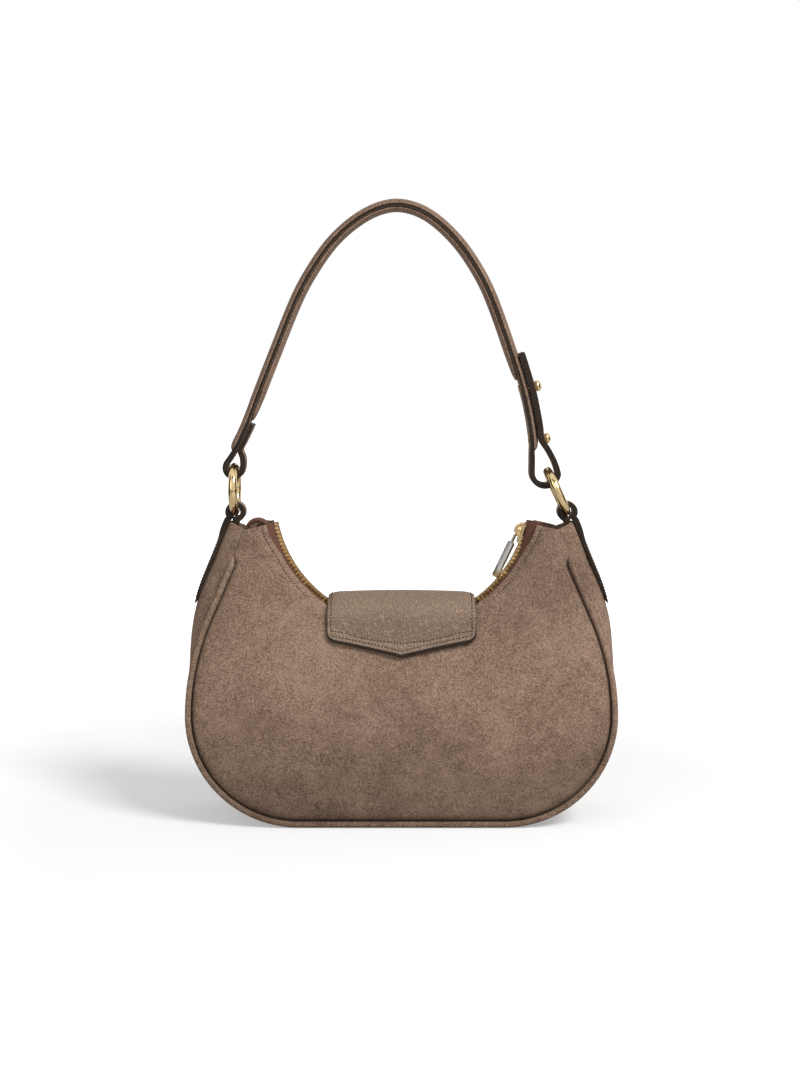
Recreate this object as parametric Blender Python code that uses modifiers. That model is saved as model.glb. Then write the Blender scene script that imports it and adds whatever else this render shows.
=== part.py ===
"""Crescent shoulder bag with a zip, a lifting flap, two rings and a standing strap.

Metres, +Z up. The bag stands on the plane Z = 0 with its middle at X = 0, Y = 0.
Its back faces -Y and its front faces +Y. Side +X is on the right when seen from the back.
"""

from math import atan2, cos, hypot, pi, radians, sin, sqrt

import bmesh
import bpy
from mathutils import Matrix, Vector

# Clearance between pieces that touch
GAP = 0.0003

# Outline of the bag, seen from the back
BASE_HALF = 0.062
CORNER_RADIUS = 0.068
SIDE_RADIUS = 0.150
SIDE_TURN = radians(23.4)
EAR_LENGTH = 0.0565
MOUTH_RADIUS = 0.0835
MOUTH_CENTRE_Z = 0.201

# Depth of the bag, from its middle plane to a face
BASE_HALF_DEPTH = 0.0295
EAR_HALF_DEPTH = 0.0133
MOUTH_HALF_DEPTH = 0.0128
DEPTH_FALL_START_Z = 0.060
CROWN_SHARE = 0.055

# Outward bulge of the gusset
GUSSET_BULGE = 0.0105
BULGE_START_Z = 0.075
BULGE_FULL_Z = 0.145

# Sheets of the body
SUEDE = 0.0018
LINING = 0.0006
LINING_SET_IN = 0.0024
LINING_EDGE_INSET = 0.0044
LINING_LOOSENESS = 0.0008
LINING_EAR_MARGIN = 0.018
GUSSET_LINING_MARGIN = 0.002
BOARD_THICKNESS = 0.0016
BOARD_SIDE_MARGIN = 0.006
BOARD_END_MARGIN = 0.004
BOARD_CORNER = 0.006

# Piping in the seams
PIPING_RADIUS = 0.0016
PIPING_END_MARGIN = 0.0155
EAR_BLEND_SHARE = 0.75

# Zip
ZIP_RADIUS = 0.0778
ZIP_CENTRE_Z = 0.1975
ZIP_LEFT = radians(-77.0)
ZIP_RIGHT = radians(73.4)
TEETH_PITCH = 0.00254
TOOTH_LENGTH = 0.00105
TOOTH_TIP = 0.0009
BEAD_INNER = 0.0015
BEAD_OUTER = 0.0029
CHAIN_THICKNESS = 0.0024
TAPE = 0.0006
TAPE_END = radians(79.6)
TAPE_HEM = 0.007
TAPE_BEND_DROP = 0.001
STOP_ANGLE = radians(77.8)
STOP_SIZE = (0.0022, 0.0019, 0.0026)
STOP_Y = 0.0019
BOTTOM_STOP_SIZE = (0.0022, 0.0058, 0.0028)

# Slider, its bail and its pull
SLIDER_ANGLE = radians(73.0)
SLIDER_LENGTH = 0.011
SLIDER_PLATE = 0.0011
SLIDER_FLANGE = 0.0015
SLIDER_RUN = 0.00035
SLIDER_HALF_WIDTH = BEAD_OUTER + SLIDER_RUN + SLIDER_FLANGE
SLIDER_POST_RADIUS = 0.0011
SLIDER_POST_T = -0.0035
BAIL_RADIUS = 0.0046
BAIL_WIDTH = 0.0046
BAIL_T = -0.0022
BAIL_H = 0.0019
BAIL_SLOT = 0.0019
PIVOT_T = 0.0002
PIVOT_H = 0.0046
PIN_RADIUS = 0.0006
PULL_LENGTH = 0.0300
PULL_WIDTH = 0.0066
PULL_THICKNESS = 0.0016
PULL_EYE_RADIUS = 0.0016
PULL_LUG_WIDTH = 0.0012
PULL_LUG_LENGTH = 0.0062
PULL_TIP_H = 0.0032

# Flap
FLAP_HALF_WIDTH = 0.0445
FLAP_LEATHER = 0.0013
FLAP_LINING = 0.0009
FLAP_ARCH_HALF = 0.0164
FLAP_HINGE_Z = 0.124
FLAP_CREST = 0.0140
FLAP_SIDE_DROP = 0.0012
FLAP_REAR_POINT_Z = 0.1037
FLAP_REAR_SIDE_Z = 0.1136
FLAP_FRONT_POINT_Z = 0.0790
FLAP_FRONT_SIDE_Z = 0.0889
FLAP_STANDOFF = 0.0036
FLAP_EASE = 0.015

# Magnetic closure of the flap
SNAP_Z = 0.095
SNAP_RADIUS = 0.0085
SNAP_SOCKET = 0.0010
SNAP_STUD = 0.0009
SNAP_START = 0.0004

# Rings
RING_RADIUS = 0.01345
RING_WIRE = 0.0024
RING_LEAN = radians(25.0)
RING_SHIFT = -0.0006

# Side tabs
TAB_LEATHER = 0.0020
TAB_LOOP_INNER = 0.0043
TAB_LOOP_RISE = 0.0067
TAB_LOOP_HALF_WIDTH = 0.0045
TAB_HALF_WIDTH = 0.0088
TAB_TIP_HALF_WIDTH = 0.0050
TAB_LENGTH = 0.0500
TAB_RETURN = 0.0170
TAB_TAPER = 0.0150

# Strap
STRAP_LEATHER = 0.0024
STRAP_HALF_WIDTH = 0.00875
STRAP_LOOP_HALF_WIDTH = 0.0056
STRAP_FOOT_RISE = 0.03258
STRAP_RISE = 0.160
LEFT_LOOP_INNER = 0.0039
RIGHT_LOOP_INNER = 0.0066
RIGHT_LOOP_SET_IN = 0.0019
RIGHT_LOOP_DROP = 0.00076
LEFT_RETURN_START = 0.012
LEFT_RETURN_REACH = 0.0312
RIGHT_RETURN_REACH = 0.071
OVERLAY_HALF_WIDTH = 0.0083
OVERLAY_EDGE = 0.0010
OVERLAY_DOME = 0.0029
OVERLAY_END_RISE = 0.0135
UNDERLAY_DOME = 0.0023
UNDERLAY_LEFT_RISE = 0.0345
UNDERLAY_RIGHT_RISE = 0.0545
PADDING = 0.0011
PADDING_HALF_WIDTH = 0.0042

# Middle line of the strap's strip, left foot to right foot, as shares of span and rise
STRAP_ROUTE_SHARES = (
    (-0.0231, 0.042), (0.0014, 0.085), (0.0413, 0.175), (0.0886, 0.316), (0.1460, 0.484),
    (0.2056, 0.652), (0.2577, 0.763), (0.3279, 0.874), (0.4215, 0.962), (0.5198, 0.999),
    (0.6182, 0.966), (0.7097, 0.874), (0.7777, 0.763), (0.8251, 0.652), (0.8777, 0.484),
    (0.9240, 0.316), (0.9495, 0.175), (0.9575, 0.088), (0.9580, 0.004),
)

# Studs that hold the strap's right return
UPPER_STUD_RISE = 0.0485
LOWER_STUD_RISE = 0.0195
STUD_HEAD_RADIUS = 0.00345
STUD_HEAD_HEIGHT = 0.0044
STUD_FOOT_RADIUS = 0.0028
STUD_SHANK_RADIUS = 0.0014
STUD_BORE_RADIUS = 0.0010
STUD_HOLE_RADIUS = 0.0017
SCREW_HEAD_RADIUS = 0.0032
SCREW_HEAD = 0.0008
SCREW_PIN_RADIUS = 0.0007
SCREW_PIN = 0.0040

# Steps of the meshes
OUTLINE_STEPS = 44
CHEEK_STEPS = 6
GUSSET_STEPS = 6
LINING_STEPS = 28
TAPE_STEPS = 28
TEETH_PER_CUT = 3
ROUTE_STEPS = 2
ROUND_STEPS = 12

# Finishes: colour, roughness, metallic
HIDE = ((0.268, 0.181, 0.136, 1.0), 0.95, 0.0)
CALF = ((0.254, 0.181, 0.130, 1.0), 0.50, 0.0)
CLOTH = ((0.200, 0.150, 0.110, 1.0), 0.90, 0.0)
WOVEN = ((0.156, 0.078, 0.045, 1.0), 0.90, 0.0)
GOLD = ((0.780, 0.560, 0.270, 1.0), 0.25, 1.0)
PALE = ((0.700, 0.690, 0.650, 1.0), 0.30, 1.0)
BOARD = ((0.160, 0.120, 0.090, 1.0), 0.80, 0.0)


def clear_scene():
    for old in list(bpy.data.objects):
        bpy.data.objects.remove(old, do_unlink=True)


def new_collection(name):
    collection = bpy.data.collections.new(name)
    bpy.context.scene.collection.children.link(collection)
    return collection


def finish_of(name, finish):
    colour, roughness, metallic = finish
    material = bpy.data.materials.new(name + "_finish")
    material.use_nodes = True
    shader = material.node_tree.nodes["Principled BSDF"]
    shader.inputs["Base Color"].default_value = colour
    shader.inputs["Roughness"].default_value = roughness
    shader.inputs["Metallic"].default_value = metallic
    return material


def add_object(name, mesh, finish, collection):
    body = bpy.data.objects.new(name, mesh)
    if finish:
        mesh.materials.append(finish_of(name, finish))
    collection.objects.link(body)
    return body


def adopt(name, finish, collection):
    """Names the object that a primitive operator has just made, and files it."""
    body = bpy.context.active_object
    body.name = name
    body.data.name = name
    for holder in list(body.users_collection):
        holder.objects.unlink(body)
    collection.objects.link(body)
    body.data.materials.append(finish_of(name, finish))
    return body


def mix(low, high, share):
    return low + (high - low) * share


def ease(share):
    share = min(1.0, max(0.0, share))
    return share * share * (3.0 - 2.0 * share)


def mapped_grid(name, steps_u, steps_v, place):
    """An open sheet: a flat grid whose unit coordinates are put in space by place(u, v)."""
    sheet = bmesh.new()
    bmesh.ops.create_grid(sheet, x_segments=steps_u, y_segments=steps_v, size=0.5)
    for vert in sheet.verts:
        vert.co = Vector(place(vert.co.x + 0.5, vert.co.y + 0.5))
    mesh = bpy.data.meshes.new(name)
    sheet.normal_update()
    sheet.to_mesh(mesh)
    sheet.free()
    return mesh


def shell(name, steps_u, steps_v, place, outward, thickness, finish, collection, offset=-1.0):
    """A sheet with a thickness, which grows away from the outward side."""
    mesh = mapped_grid(name, steps_u, steps_v, place)
    facing = sum(face.normal.dot(Vector(outward(face.center))) for face in mesh.polygons)
    if facing < 0.0:
        mesh.flip_normals()
    body = add_object(name, mesh, finish, collection)
    wall = body.modifiers.new("wall", "SOLIDIFY")
    wall.thickness = thickness
    wall.offset = offset
    wall.use_even_offset = True
    return body


def outline_point(arc):
    """Point and outward normal of the bag's outline, at an arc length from the bottom's middle."""
    side = -1.0 if arc < 0.0 else 1.0
    rest = abs(arc)
    corner_arc = CORNER_RADIUS * pi / 2.0
    side_arc = SIDE_RADIUS * SIDE_TURN
    if rest <= BASE_HALF:
        return Vector((side * rest, 0.0)), Vector((0.0, -1.0))
    rest -= BASE_HALF
    if rest <= corner_arc:
        turn = rest / CORNER_RADIUS
        normal = Vector((sin(turn), -cos(turn)))
        point = Vector((BASE_HALF, CORNER_RADIUS)) + CORNER_RADIUS * normal
    else:
        rest -= corner_arc
        centre = Vector((BASE_HALF + CORNER_RADIUS - SIDE_RADIUS, CORNER_RADIUS))
        turn = min(rest / SIDE_RADIUS, SIDE_TURN)
        normal = Vector((cos(turn), sin(turn)))
        point = centre + SIDE_RADIUS * normal
        if rest > side_arc:
            point = point + (rest - side_arc) * Vector((-sin(SIDE_TURN), cos(SIDE_TURN)))
    return Vector((side * point.x, point.y)), Vector((side * normal.x, normal.y))


HALF_ARC = BASE_HALF + CORNER_RADIUS * pi / 2.0 + SIDE_RADIUS * SIDE_TURN + EAR_LENGTH
EAR_TOP_Z = outline_point(HALF_ARC)[0].y
STRAP_FOOT_Z = EAR_TOP_Z + STRAP_FOOT_RISE


def seam_depth(height):
    fall = ease((height - DEPTH_FALL_START_Z) / (EAR_TOP_Z - DEPTH_FALL_START_Z))
    return mix(BASE_HALF_DEPTH, EAR_HALF_DEPTH, fall)


def panel_inset(arc):
    """How far a panel's edge stays inside the outline: past the piping, flush at the ears."""
    ear = ease(1.0 - (HALF_ARC - abs(arc)) / (EAR_BLEND_SHARE * PIPING_END_MARGIN))
    return mix(2.0 * PIPING_RADIUS + 2.0 * GAP, GAP, ear)


def panel_edge(arc, inset):
    point, normal = outline_point(arc)
    return point - inset * normal


def mouth_point(edge, radius):
    centre = Vector((0.0, MOUTH_CENTRE_Z))
    return centre + radius * (edge - centre).normalized()


def crowned_depth(edge, mouth, share):
    crown = CROWN_SHARE * (edge - mouth).length * 4.0 * share * (1.0 - share)
    return mix(seam_depth(edge.y), MOUTH_HALF_DEPTH, share * share) + crown


def edge_behind(x, z):
    """The panel's edge point that lies behind (x, z), seen from the mouth's centre."""
    wanted = atan2(abs(x), MOUTH_CENTRE_Z - z)
    low, high = 0.0, HALF_ARC
    for _ in range(30):
        middle = 0.5 * (low + high)
        edge = panel_edge(middle, panel_inset(middle))
        if atan2(edge.x, MOUTH_CENTRE_Z - edge.y) < wanted:
            low = middle
        else:
            high = middle
    return Vector((-edge.x if x < 0.0 else edge.x, edge.y))


def face_depth(x, z):
    """Distance of a panel's outer face from the bag's middle plane."""
    edge = edge_behind(x, z)
    mouth = mouth_point(edge, MOUTH_RADIUS)
    reach = hypot(x, z - MOUTH_CENTRE_Z)
    span = (edge - mouth).length
    share = min(1.0, (MOUTH_RADIUS + span - reach) / span)
    return crowned_depth(edge, mouth, share)


def make_panel(name, side, finish, collection):
    def place(u, v):
        arc = mix(-HALF_ARC, HALF_ARC, u)
        edge = panel_edge(arc, panel_inset(arc))
        mouth = mouth_point(edge, MOUTH_RADIUS)
        point = edge.lerp(mouth, v)
        return point.x, side * crowned_depth(edge, mouth, v), point.y

    def outward(_):
        return 0.0, side, 0.0

    return shell(name, OUTLINE_STEPS, CHEEK_STEPS, place, outward, SUEDE, finish, collection)


def make_panel_lining(name, side, finish, collection):
    """The lining of a panel, from inside its seam to the hem of the zip's tape."""
    top = MOUTH_RADIUS + TAPE_HEM + GAP

    def place(u, v):
        reach = HALF_ARC - LINING_EAR_MARGIN
        edge = panel_edge(mix(-reach, reach, u), LINING_EDGE_INSET)
        point = edge.lerp(mouth_point(edge, top), v)
        return point.x, side * (face_depth(point.x, point.y) - LINING_SET_IN), point.y

    def outward(_):
        return 0.0, side, 0.0

    return shell(name, LINING_STEPS, CHEEK_STEPS - 3, place, outward, LINING, finish, collection)


def bulge_at(height):
    return GUSSET_BULGE * ease((height - BULGE_START_Z) / (BULGE_FULL_Z - BULGE_START_Z))


def gusset_half(height):
    return seam_depth(height) - SUEDE - GAP


def gusset_point(point, away, bulge, y, set_out):
    """A point off the gusset's face: its foot is at Y = y across from an outline point."""
    half = gusset_half(min(point.y, EAR_TOP_Z))
    slope = 2.0 * bulge * y / half ** 2
    step = set_out / sqrt(1.0 + slope ** 2)
    point = point + (bulge * (1.0 - (y / half) ** 2) + step) * away
    return point.x, y + slope * step, point.y


def away_from_middle(centre):
    return centre.x, 0.0, centre.z - CORNER_RADIUS


def make_gusset(finish, collection):
    def place(u, v):
        point, away = outline_point(mix(-HALF_ARC, HALF_ARC, u))
        half = gusset_half(point.y)
        return gusset_point(point, away, bulge_at(point.y), mix(-half, half, v), 0.0)

    shell("gusset", OUTLINE_STEPS, GUSSET_STEPS, place, away_from_middle, SUEDE, finish, collection)


def make_gusset_lining(finish, collection):
    def place(u, v):
        reach = HALF_ARC - GUSSET_LINING_MARGIN
        point, away = outline_point(mix(-reach, reach, u))
        half = gusset_half(point.y) - GAP
        set_out = -SUEDE - LINING_LOOSENESS
        return gusset_point(point, away, bulge_at(point.y), mix(-half, half, v), set_out)

    shell("gusset_lining", OUTLINE_STEPS, GUSSET_STEPS, place, away_from_middle, LINING,
          finish, collection)


def make_piping(name, side, finish, collection):
    curve = bpy.data.curves.new(name, "CURVE")
    curve.dimensions = "3D"
    curve.bevel_depth = PIPING_RADIUS
    curve.bevel_resolution = 2
    curve.use_fill_caps = True
    spline = curve.splines.new("POLY")
    spline.points.add(OUTLINE_STEPS)
    reach = HALF_ARC - PIPING_END_MARGIN
    for index, knot in enumerate(spline.points):
        arc = mix(-reach, reach, index / OUTLINE_STEPS)
        point = panel_edge(arc, PIPING_RADIUS + GAP)
        knot.co = (point.x, side * seam_depth(point.y), point.y, 1.0)
    add_object(name, curve, finish, collection)


def make_base_board(collection):
    floor = SUEDE + LINING_LOOSENESS + LINING + GAP
    bpy.ops.mesh.primitive_cube_add(size=1.0, location=(0.0, 0.0, floor + 0.5 * BOARD_THICKNESS))
    body = adopt("base_board", BOARD, collection)
    size = (2.0 * (BASE_HALF - BOARD_END_MARGIN), 2.0 * (BASE_HALF_DEPTH - BOARD_SIDE_MARGIN),
            BOARD_THICKNESS)
    body.data.transform(Matrix.Diagonal((*size, 1.0)))
    cage = bmesh.new()
    cage.from_mesh(body.data)
    upright = [edge for edge in cage.edges if abs(edge.verts[0].co.z - edge.verts[1].co.z) > GAP]
    bmesh.ops.bevel(cage, geom=upright, offset=BOARD_CORNER, offset_type="OFFSET", segments=3,
                    profile=0.5, affect="EDGES", material=-1)
    cage.to_mesh(body.data)
    cage.free()


def zip_point(angle, radius, y):
    return Vector((radius * sin(angle), y, ZIP_CENTRE_Z - radius * cos(angle)))


def make_teeth(name, side, shift, finish, collection):
    """One row of teeth: a flat toothed strip, bent round the mouth's arc."""
    length = ZIP_RADIUS * (ZIP_RIGHT - ZIP_LEFT)
    count = int(length / TEETH_PITCH)
    points = []
    for index in range(count):
        middle = (index + 0.25 + shift) * TEETH_PITCH
        for along, across in ((-0.5, 1.0), (-0.5, 0.0), (0.5, 0.0), (0.5, 1.0)):
            points.append((middle + along * TOOTH_LENGTH, mix(-TOOTH_TIP, BEAD_INNER, across)))
    for corner in ((count, BEAD_INNER), (count, BEAD_OUTER), (0, BEAD_OUTER), (0, BEAD_INNER)):
        points.append((corner[0] * TEETH_PITCH, corner[1]))
    curve = bpy.data.curves.new(name, "CURVE")
    curve.dimensions = "2D"
    curve.fill_mode = "BOTH"
    curve.extrude = 0.5 * CHAIN_THICKNESS
    spline = curve.splines.new("POLY")
    spline.points.add(len(points) - 1)
    for knot, point in zip(spline.points, points):
        knot.co = (*point, 0.0, 1.0)
    spline.use_cyclic_u = True
    guide = bpy.data.objects.new(name + "_flat", curve)
    collection.objects.link(guide)
    bpy.context.view_layer.update()
    mesh = bpy.data.meshes.new_from_object(guide.evaluated_get(bpy.context.evaluated_depsgraph_get()))
    bpy.data.objects.remove(guide, do_unlink=True)
    flat = bmesh.new()
    flat.from_mesh(mesh)
    bmesh.ops.remove_doubles(flat, verts=flat.verts, dist=0.1 * GAP)
    for index in range(TEETH_PER_CUT, count, TEETH_PER_CUT):
        bmesh.ops.bisect_plane(flat, geom=[*flat.verts, *flat.edges, *flat.faces],
                               plane_co=(index * TEETH_PITCH, 0.0, 0.0), plane_no=(1.0, 0.0, 0.0))
    bmesh.ops.triangulate(flat, faces=flat.faces)
    bmesh.ops.scale(flat, vec=(1.0, side, 1.0), verts=flat.verts)
    bmesh.ops.recalc_face_normals(flat, faces=flat.faces)
    for vert in flat.verts:
        angle = ZIP_LEFT + vert.co.x / ZIP_RADIUS
        vert.co = zip_point(angle, ZIP_RADIUS - vert.co.z, vert.co.y)
    flat.to_mesh(mesh)
    flat.free()
    mesh.name = name
    mesh.materials.clear()
    add_object(name, mesh, finish, collection)


def make_tape(name, side, finish, collection):
    """A half of the zip's tape, from the teeth to a hem inside the panel."""
    mouth_share = atan2(panel_edge(HALF_ARC, GAP).x, MOUTH_CENTRE_Z - EAR_TOP_Z) / TAPE_END - 0.004

    def place(u, v):
        angle = mix(-TAPE_END, TAPE_END, u)
        row = round(v * 3)
        if row < 2:
            half = SLIDER_HALF_WIDTH + GAP if row else BEAD_OUTER + GAP + TAPE
            return zip_point(angle, ZIP_RADIUS, side * half)
        radius = MOUTH_RADIUS + (TAPE_BEND_DROP if row == 2 else TAPE_HEM)
        x = radius * sin(angle * mouth_share)
        z = MOUTH_CENTRE_Z - radius * cos(angle * mouth_share)
        return x, side * (face_depth(x, z) - LINING_SET_IN), z

    def outward(centre):
        return 0.0, side, centre.z - ZIP_CENTRE_Z

    shell(name, TAPE_STEPS, 3, place, outward, TAPE, finish, collection)


def box_mesh(name, size):
    bulk = bmesh.new()
    bmesh.ops.create_cube(bulk, size=1.0)
    bmesh.ops.transform(bulk, matrix=Matrix.Diagonal((*size, 1.0)), verts=bulk.verts)
    mesh = bpy.data.meshes.new(name)
    bulk.to_mesh(mesh)
    bulk.free()
    return mesh


def rod_mesh(name, radius, depth, steps=ROUND_STEPS):
    """A round bar along Y."""
    bulk = bmesh.new()
    bmesh.ops.create_cone(bulk, cap_ends=True, segments=steps, radius1=radius, radius2=radius,
                          depth=depth, matrix=Matrix.Rotation(pi / 2.0, 4, "X"))
    mesh = bpy.data.meshes.new(name)
    bulk.to_mesh(mesh)
    bulk.free()
    return mesh


def zip_frame(angle, along, height):
    """Place on the chain: X runs down the arc to the left, Z rises from the chain."""
    down = Vector((-cos(angle), 0.0, -sin(angle)))
    rise = Vector((-sin(angle), 0.0, cos(angle)))
    origin = zip_point(angle, ZIP_RADIUS, 0.0) + along * down + height * rise
    across = rise.cross(down)
    return Matrix((
        (down.x, across.x, rise.x, origin.x),
        (down.y, across.y, rise.y, origin.y),
        (down.z, across.z, rise.z, origin.z),
        (0.0, 0.0, 0.0, 1.0),
    ))


def make_stops(finish, collection):
    for name, side in (("rear_top_stop", -1.0), ("front_top_stop", 1.0)):
        stop = add_object(name, box_mesh(name, STOP_SIZE), finish, collection)
        stop.matrix_world = Matrix.Translation((0.0, side * STOP_Y, 0.0)) @ zip_frame(STOP_ANGLE, 0.0, 0.0)
        soften(stop, 0.2 * STOP_SIZE[1], 1)
    stop = add_object("bottom_stop", box_mesh("bottom_stop", BOTTOM_STOP_SIZE), finish, collection)
    clear = 0.5 * BOTTOM_STOP_SIZE[0] + GAP
    stop.matrix_world = zip_frame(ZIP_LEFT - clear / ZIP_RADIUS, 0.0, 0.0)
    soften(stop, 0.2 * BOTTOM_STOP_SIZE[0], 1)


def soften(body, width, steps):
    bevel = body.modifiers.new("rounding", "BEVEL")
    bevel.width = width
    bevel.segments = steps
    bevel.limit_method = "ANGLE"


def cut(body, cutter, operation="DIFFERENCE"):
    tool = body.modifiers.new(cutter.name, "BOOLEAN")
    tool.operation = operation
    tool.object = cutter
    tool.solver = "EXACT"
    cutter.hide_render = True
    cutter.display_type = "WIRE"


def make_slider(finish, collection, cutters):
    """The slider rides on the chain: two plates, flanges and a post between the rows' ends."""
    inner = 0.5 * CHAIN_THICKNESS + SLIDER_RUN
    half_height = inner + SLIDER_PLATE
    channel_half = BEAD_OUTER + SLIDER_RUN
    place = zip_frame(SLIDER_ANGLE, 0.0, 0.0)
    overrun = 2.0 * SLIDER_LENGTH
    block = box_mesh("slider_body", (SLIDER_LENGTH, 2.0 * SLIDER_HALF_WIDTH, 2.0 * half_height))
    slider = add_object("slider_body", block, finish, collection)
    slider.matrix_world = place
    soften(slider, 0.3 * SLIDER_PLATE, 2)
    channel = add_object("slider_channel", box_mesh("slider_channel",
                         (overrun, 2.0 * channel_half, 2.0 * inner)), None, cutters)
    slot_height = TAPE + 4.0 * SLIDER_RUN
    slot = add_object("slider_slot", box_mesh("slider_slot", (overrun, overrun, slot_height)),
                      None, cutters)
    post = add_object("slider_post", rod_mesh("slider_post", SLIDER_POST_RADIUS,
                      2.0 * inner + SLIDER_PLATE), None, cutters)
    channel.matrix_world = place
    slot.matrix_world = place
    post.matrix_world = zip_frame(SLIDER_ANGLE, SLIDER_POST_T, 0.0) @ Matrix.Rotation(pi / 2.0, 4, "X")
    cut(slider, channel)
    cut(slider, slot)
    cut(slider, post, "UNION")

    seat = half_height + GAP
    bail = add_object("slider_bail", rod_mesh("slider_bail", BAIL_RADIUS, BAIL_WIDTH, 24), finish,
                      collection)
    bail.matrix_world = zip_frame(SLIDER_ANGLE, BAIL_T, BAIL_H)
    soften(bail, 0.1 * BAIL_WIDTH, 2)
    under = add_object("bail_seat", box_mesh("bail_seat", (overrun, overrun, overrun)), None, cutters)
    under.matrix_world = zip_frame(SLIDER_ANGLE, 0.0, seat - 0.5 * overrun)
    gate = add_object("bail_slot", box_mesh("bail_slot", (overrun, BAIL_SLOT, overrun)), None, cutters)
    gate.matrix_world = zip_frame(SLIDER_ANGLE, BAIL_T + 0.5 * overrun - 0.55 * BAIL_RADIUS,
                                  seat + 0.5 * overrun)
    pin = add_object("bail_pin", rod_mesh("bail_pin", PIN_RADIUS, 0.8 * BAIL_WIDTH), None, cutters)
    pin.matrix_world = zip_frame(SLIDER_ANGLE, PIVOT_T, PIVOT_H)
    cut(bail, under)
    cut(bail, gate)
    cut(bail, pin, "UNION")
    return slider, bail


def make_pull(finish, collection, cutters):
    """A flat pull with an eye round the bail's pin, lying along the chain."""
    pivot = zip_frame(SLIDER_ANGLE, PIVOT_T, PIVOT_H).translation
    tip_angle = SLIDER_ANGLE - (PIVOT_T + PULL_LENGTH) / ZIP_RADIUS
    tip = zip_point(tip_angle, ZIP_RADIUS - PULL_TIP_H, 0.0)
    down = (tip - pivot).normalized()
    across = Vector((0.0, 1.0, 0.0))
    rise = down.cross(across)
    place = Matrix((
        (down.x, across.x, rise.x, pivot.x),
        (down.y, across.y, rise.y, pivot.y),
        (down.z, across.z, rise.z, pivot.z),
        (0.0, 0.0, 0.0, 1.0),
    ))
    pull = add_object("pull_tab", rod_mesh("pull_tab", PULL_EYE_RADIUS, PULL_LUG_WIDTH, 16), finish,
                      collection)
    pull.matrix_world = place
    plate_length = PULL_LENGTH - PULL_LUG_LENGTH
    lug_length = PULL_LUG_LENGTH
    lug = add_object("pull_lug", box_mesh("pull_lug", (lug_length, PULL_LUG_WIDTH, PULL_THICKNESS)),
                     None, cutters)
    lug.matrix_world = place @ Matrix.Translation((0.5 * lug_length + GAP, 0.0, 0.0))
    plate = add_object("pull_plate", box_mesh("pull_plate", (plate_length, PULL_WIDTH, PULL_THICKNESS)),
                       None, cutters)
    plate.matrix_world = place @ Matrix.Translation((PULL_LUG_LENGTH + 0.5 * plate_length, 0.0, 0.0))
    soften(plate, 0.3 * PULL_THICKNESS, 2)
    bore = add_object("pull_bore", rod_mesh("pull_bore", PIN_RADIUS + GAP, 2.0 * BAIL_WIDTH),
                      None, cutters)
    bore.matrix_world = place
    cut(pull, lug, "UNION")
    cut(pull, plate, "UNION")
    cut(pull, bore)
    return pull, pivot


def chevron(x, point_z, side_z):
    return mix(point_z, side_z, abs(x) / FLAP_HALF_WIDTH)


def flap_total():
    return FLAP_LEATHER + GAP + FLAP_LINING


def make_flap_tab(finish, collection):
    """The flap's sewn end on the rear panel, up to the fold line."""
    def place(u, v):
        x = mix(-FLAP_HALF_WIDTH, FLAP_HALF_WIDTH, u)
        z = mix(chevron(x, FLAP_REAR_POINT_Z, FLAP_REAR_SIDE_Z), FLAP_HINGE_Z - 0.5 * GAP, v)
        y = max(face_depth(x, z) + GAP, FLAP_ARCH_HALF)
        return x, -y, z

    def outward(_):
        return 0.0, 1.0, 0.0

    shell("flap_rear_tab", 12, 5, place, outward, flap_total(), finish, collection)


def flap_profile(x, share, front_share):
    """Inner side of the cover: an arch over the mouth, then the front leg."""
    crest = FLAP_CREST - FLAP_SIDE_DROP * (x / FLAP_HALF_WIDTH) ** 2
    if share < front_share:
        turn = pi * share / front_share
        return -FLAP_ARCH_HALF * cos(turn), FLAP_HINGE_Z + 0.5 * GAP + crest * sin(turn)
    low = chevron(x, FLAP_FRONT_POINT_Z, FLAP_FRONT_SIDE_Z)
    z = mix(FLAP_HINGE_Z, low, (share - front_share) / (1.0 - front_share))
    lift = max(0.0, face_depth(x, z) + FLAP_STANDOFF - FLAP_ARCH_HALF)
    return FLAP_ARCH_HALF + lift * ease((FLAP_HINGE_Z - z) / FLAP_EASE), z


def make_flap_layer(name, set_out, thickness, finish, collection, hinge):
    steps = 18

    def place(u, v):
        x = mix(-FLAP_HALF_WIDTH, FLAP_HALF_WIDTH, u)
        y, z = flap_profile(x, v, 0.5)
        step = 0.5 / steps
        y_low, z_low = flap_profile(x, max(0.0, v - step), 0.5)
        y_high, z_high = flap_profile(x, min(1.0, v + step), 0.5)
        along = Vector((y_high - y_low, z_high - z_low)).normalized()
        return x, y - set_out * along.y, z + set_out * along.x

    def outward(centre):
        return 0.0, -centre.y, FLAP_HINGE_Z - FLAP_CREST - centre.z

    body = shell(name, 8, steps, place, outward, thickness, finish, collection)
    body.parent = hinge
    body.matrix_parent_inverse = hinge.matrix_world.inverted()
    return body


def snap_frame(depth):
    """Place on the front panel at the closure, at a distance along the panel's normal."""
    step = SNAP_RADIUS
    low = Vector((0.0, face_depth(0.0, SNAP_Z - step), SNAP_Z - step))
    high = Vector((0.0, face_depth(0.0, SNAP_Z + step), SNAP_Z + step))
    up = (high - low).normalized()
    side = Vector((1.0, 0.0, 0.0))
    normal = up.cross(side)
    if normal.y < 0.0:
        normal = -normal
        side = -side
    origin = Vector((0.0, face_depth(0.0, SNAP_Z), SNAP_Z)) + depth * normal
    return Matrix((
        (side.x, normal.x, up.x, origin.x),
        (side.y, normal.y, up.y, origin.y),
        (side.z, normal.z, up.z, origin.z),
        (0.0, 0.0, 0.0, 1.0),
    ))


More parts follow.
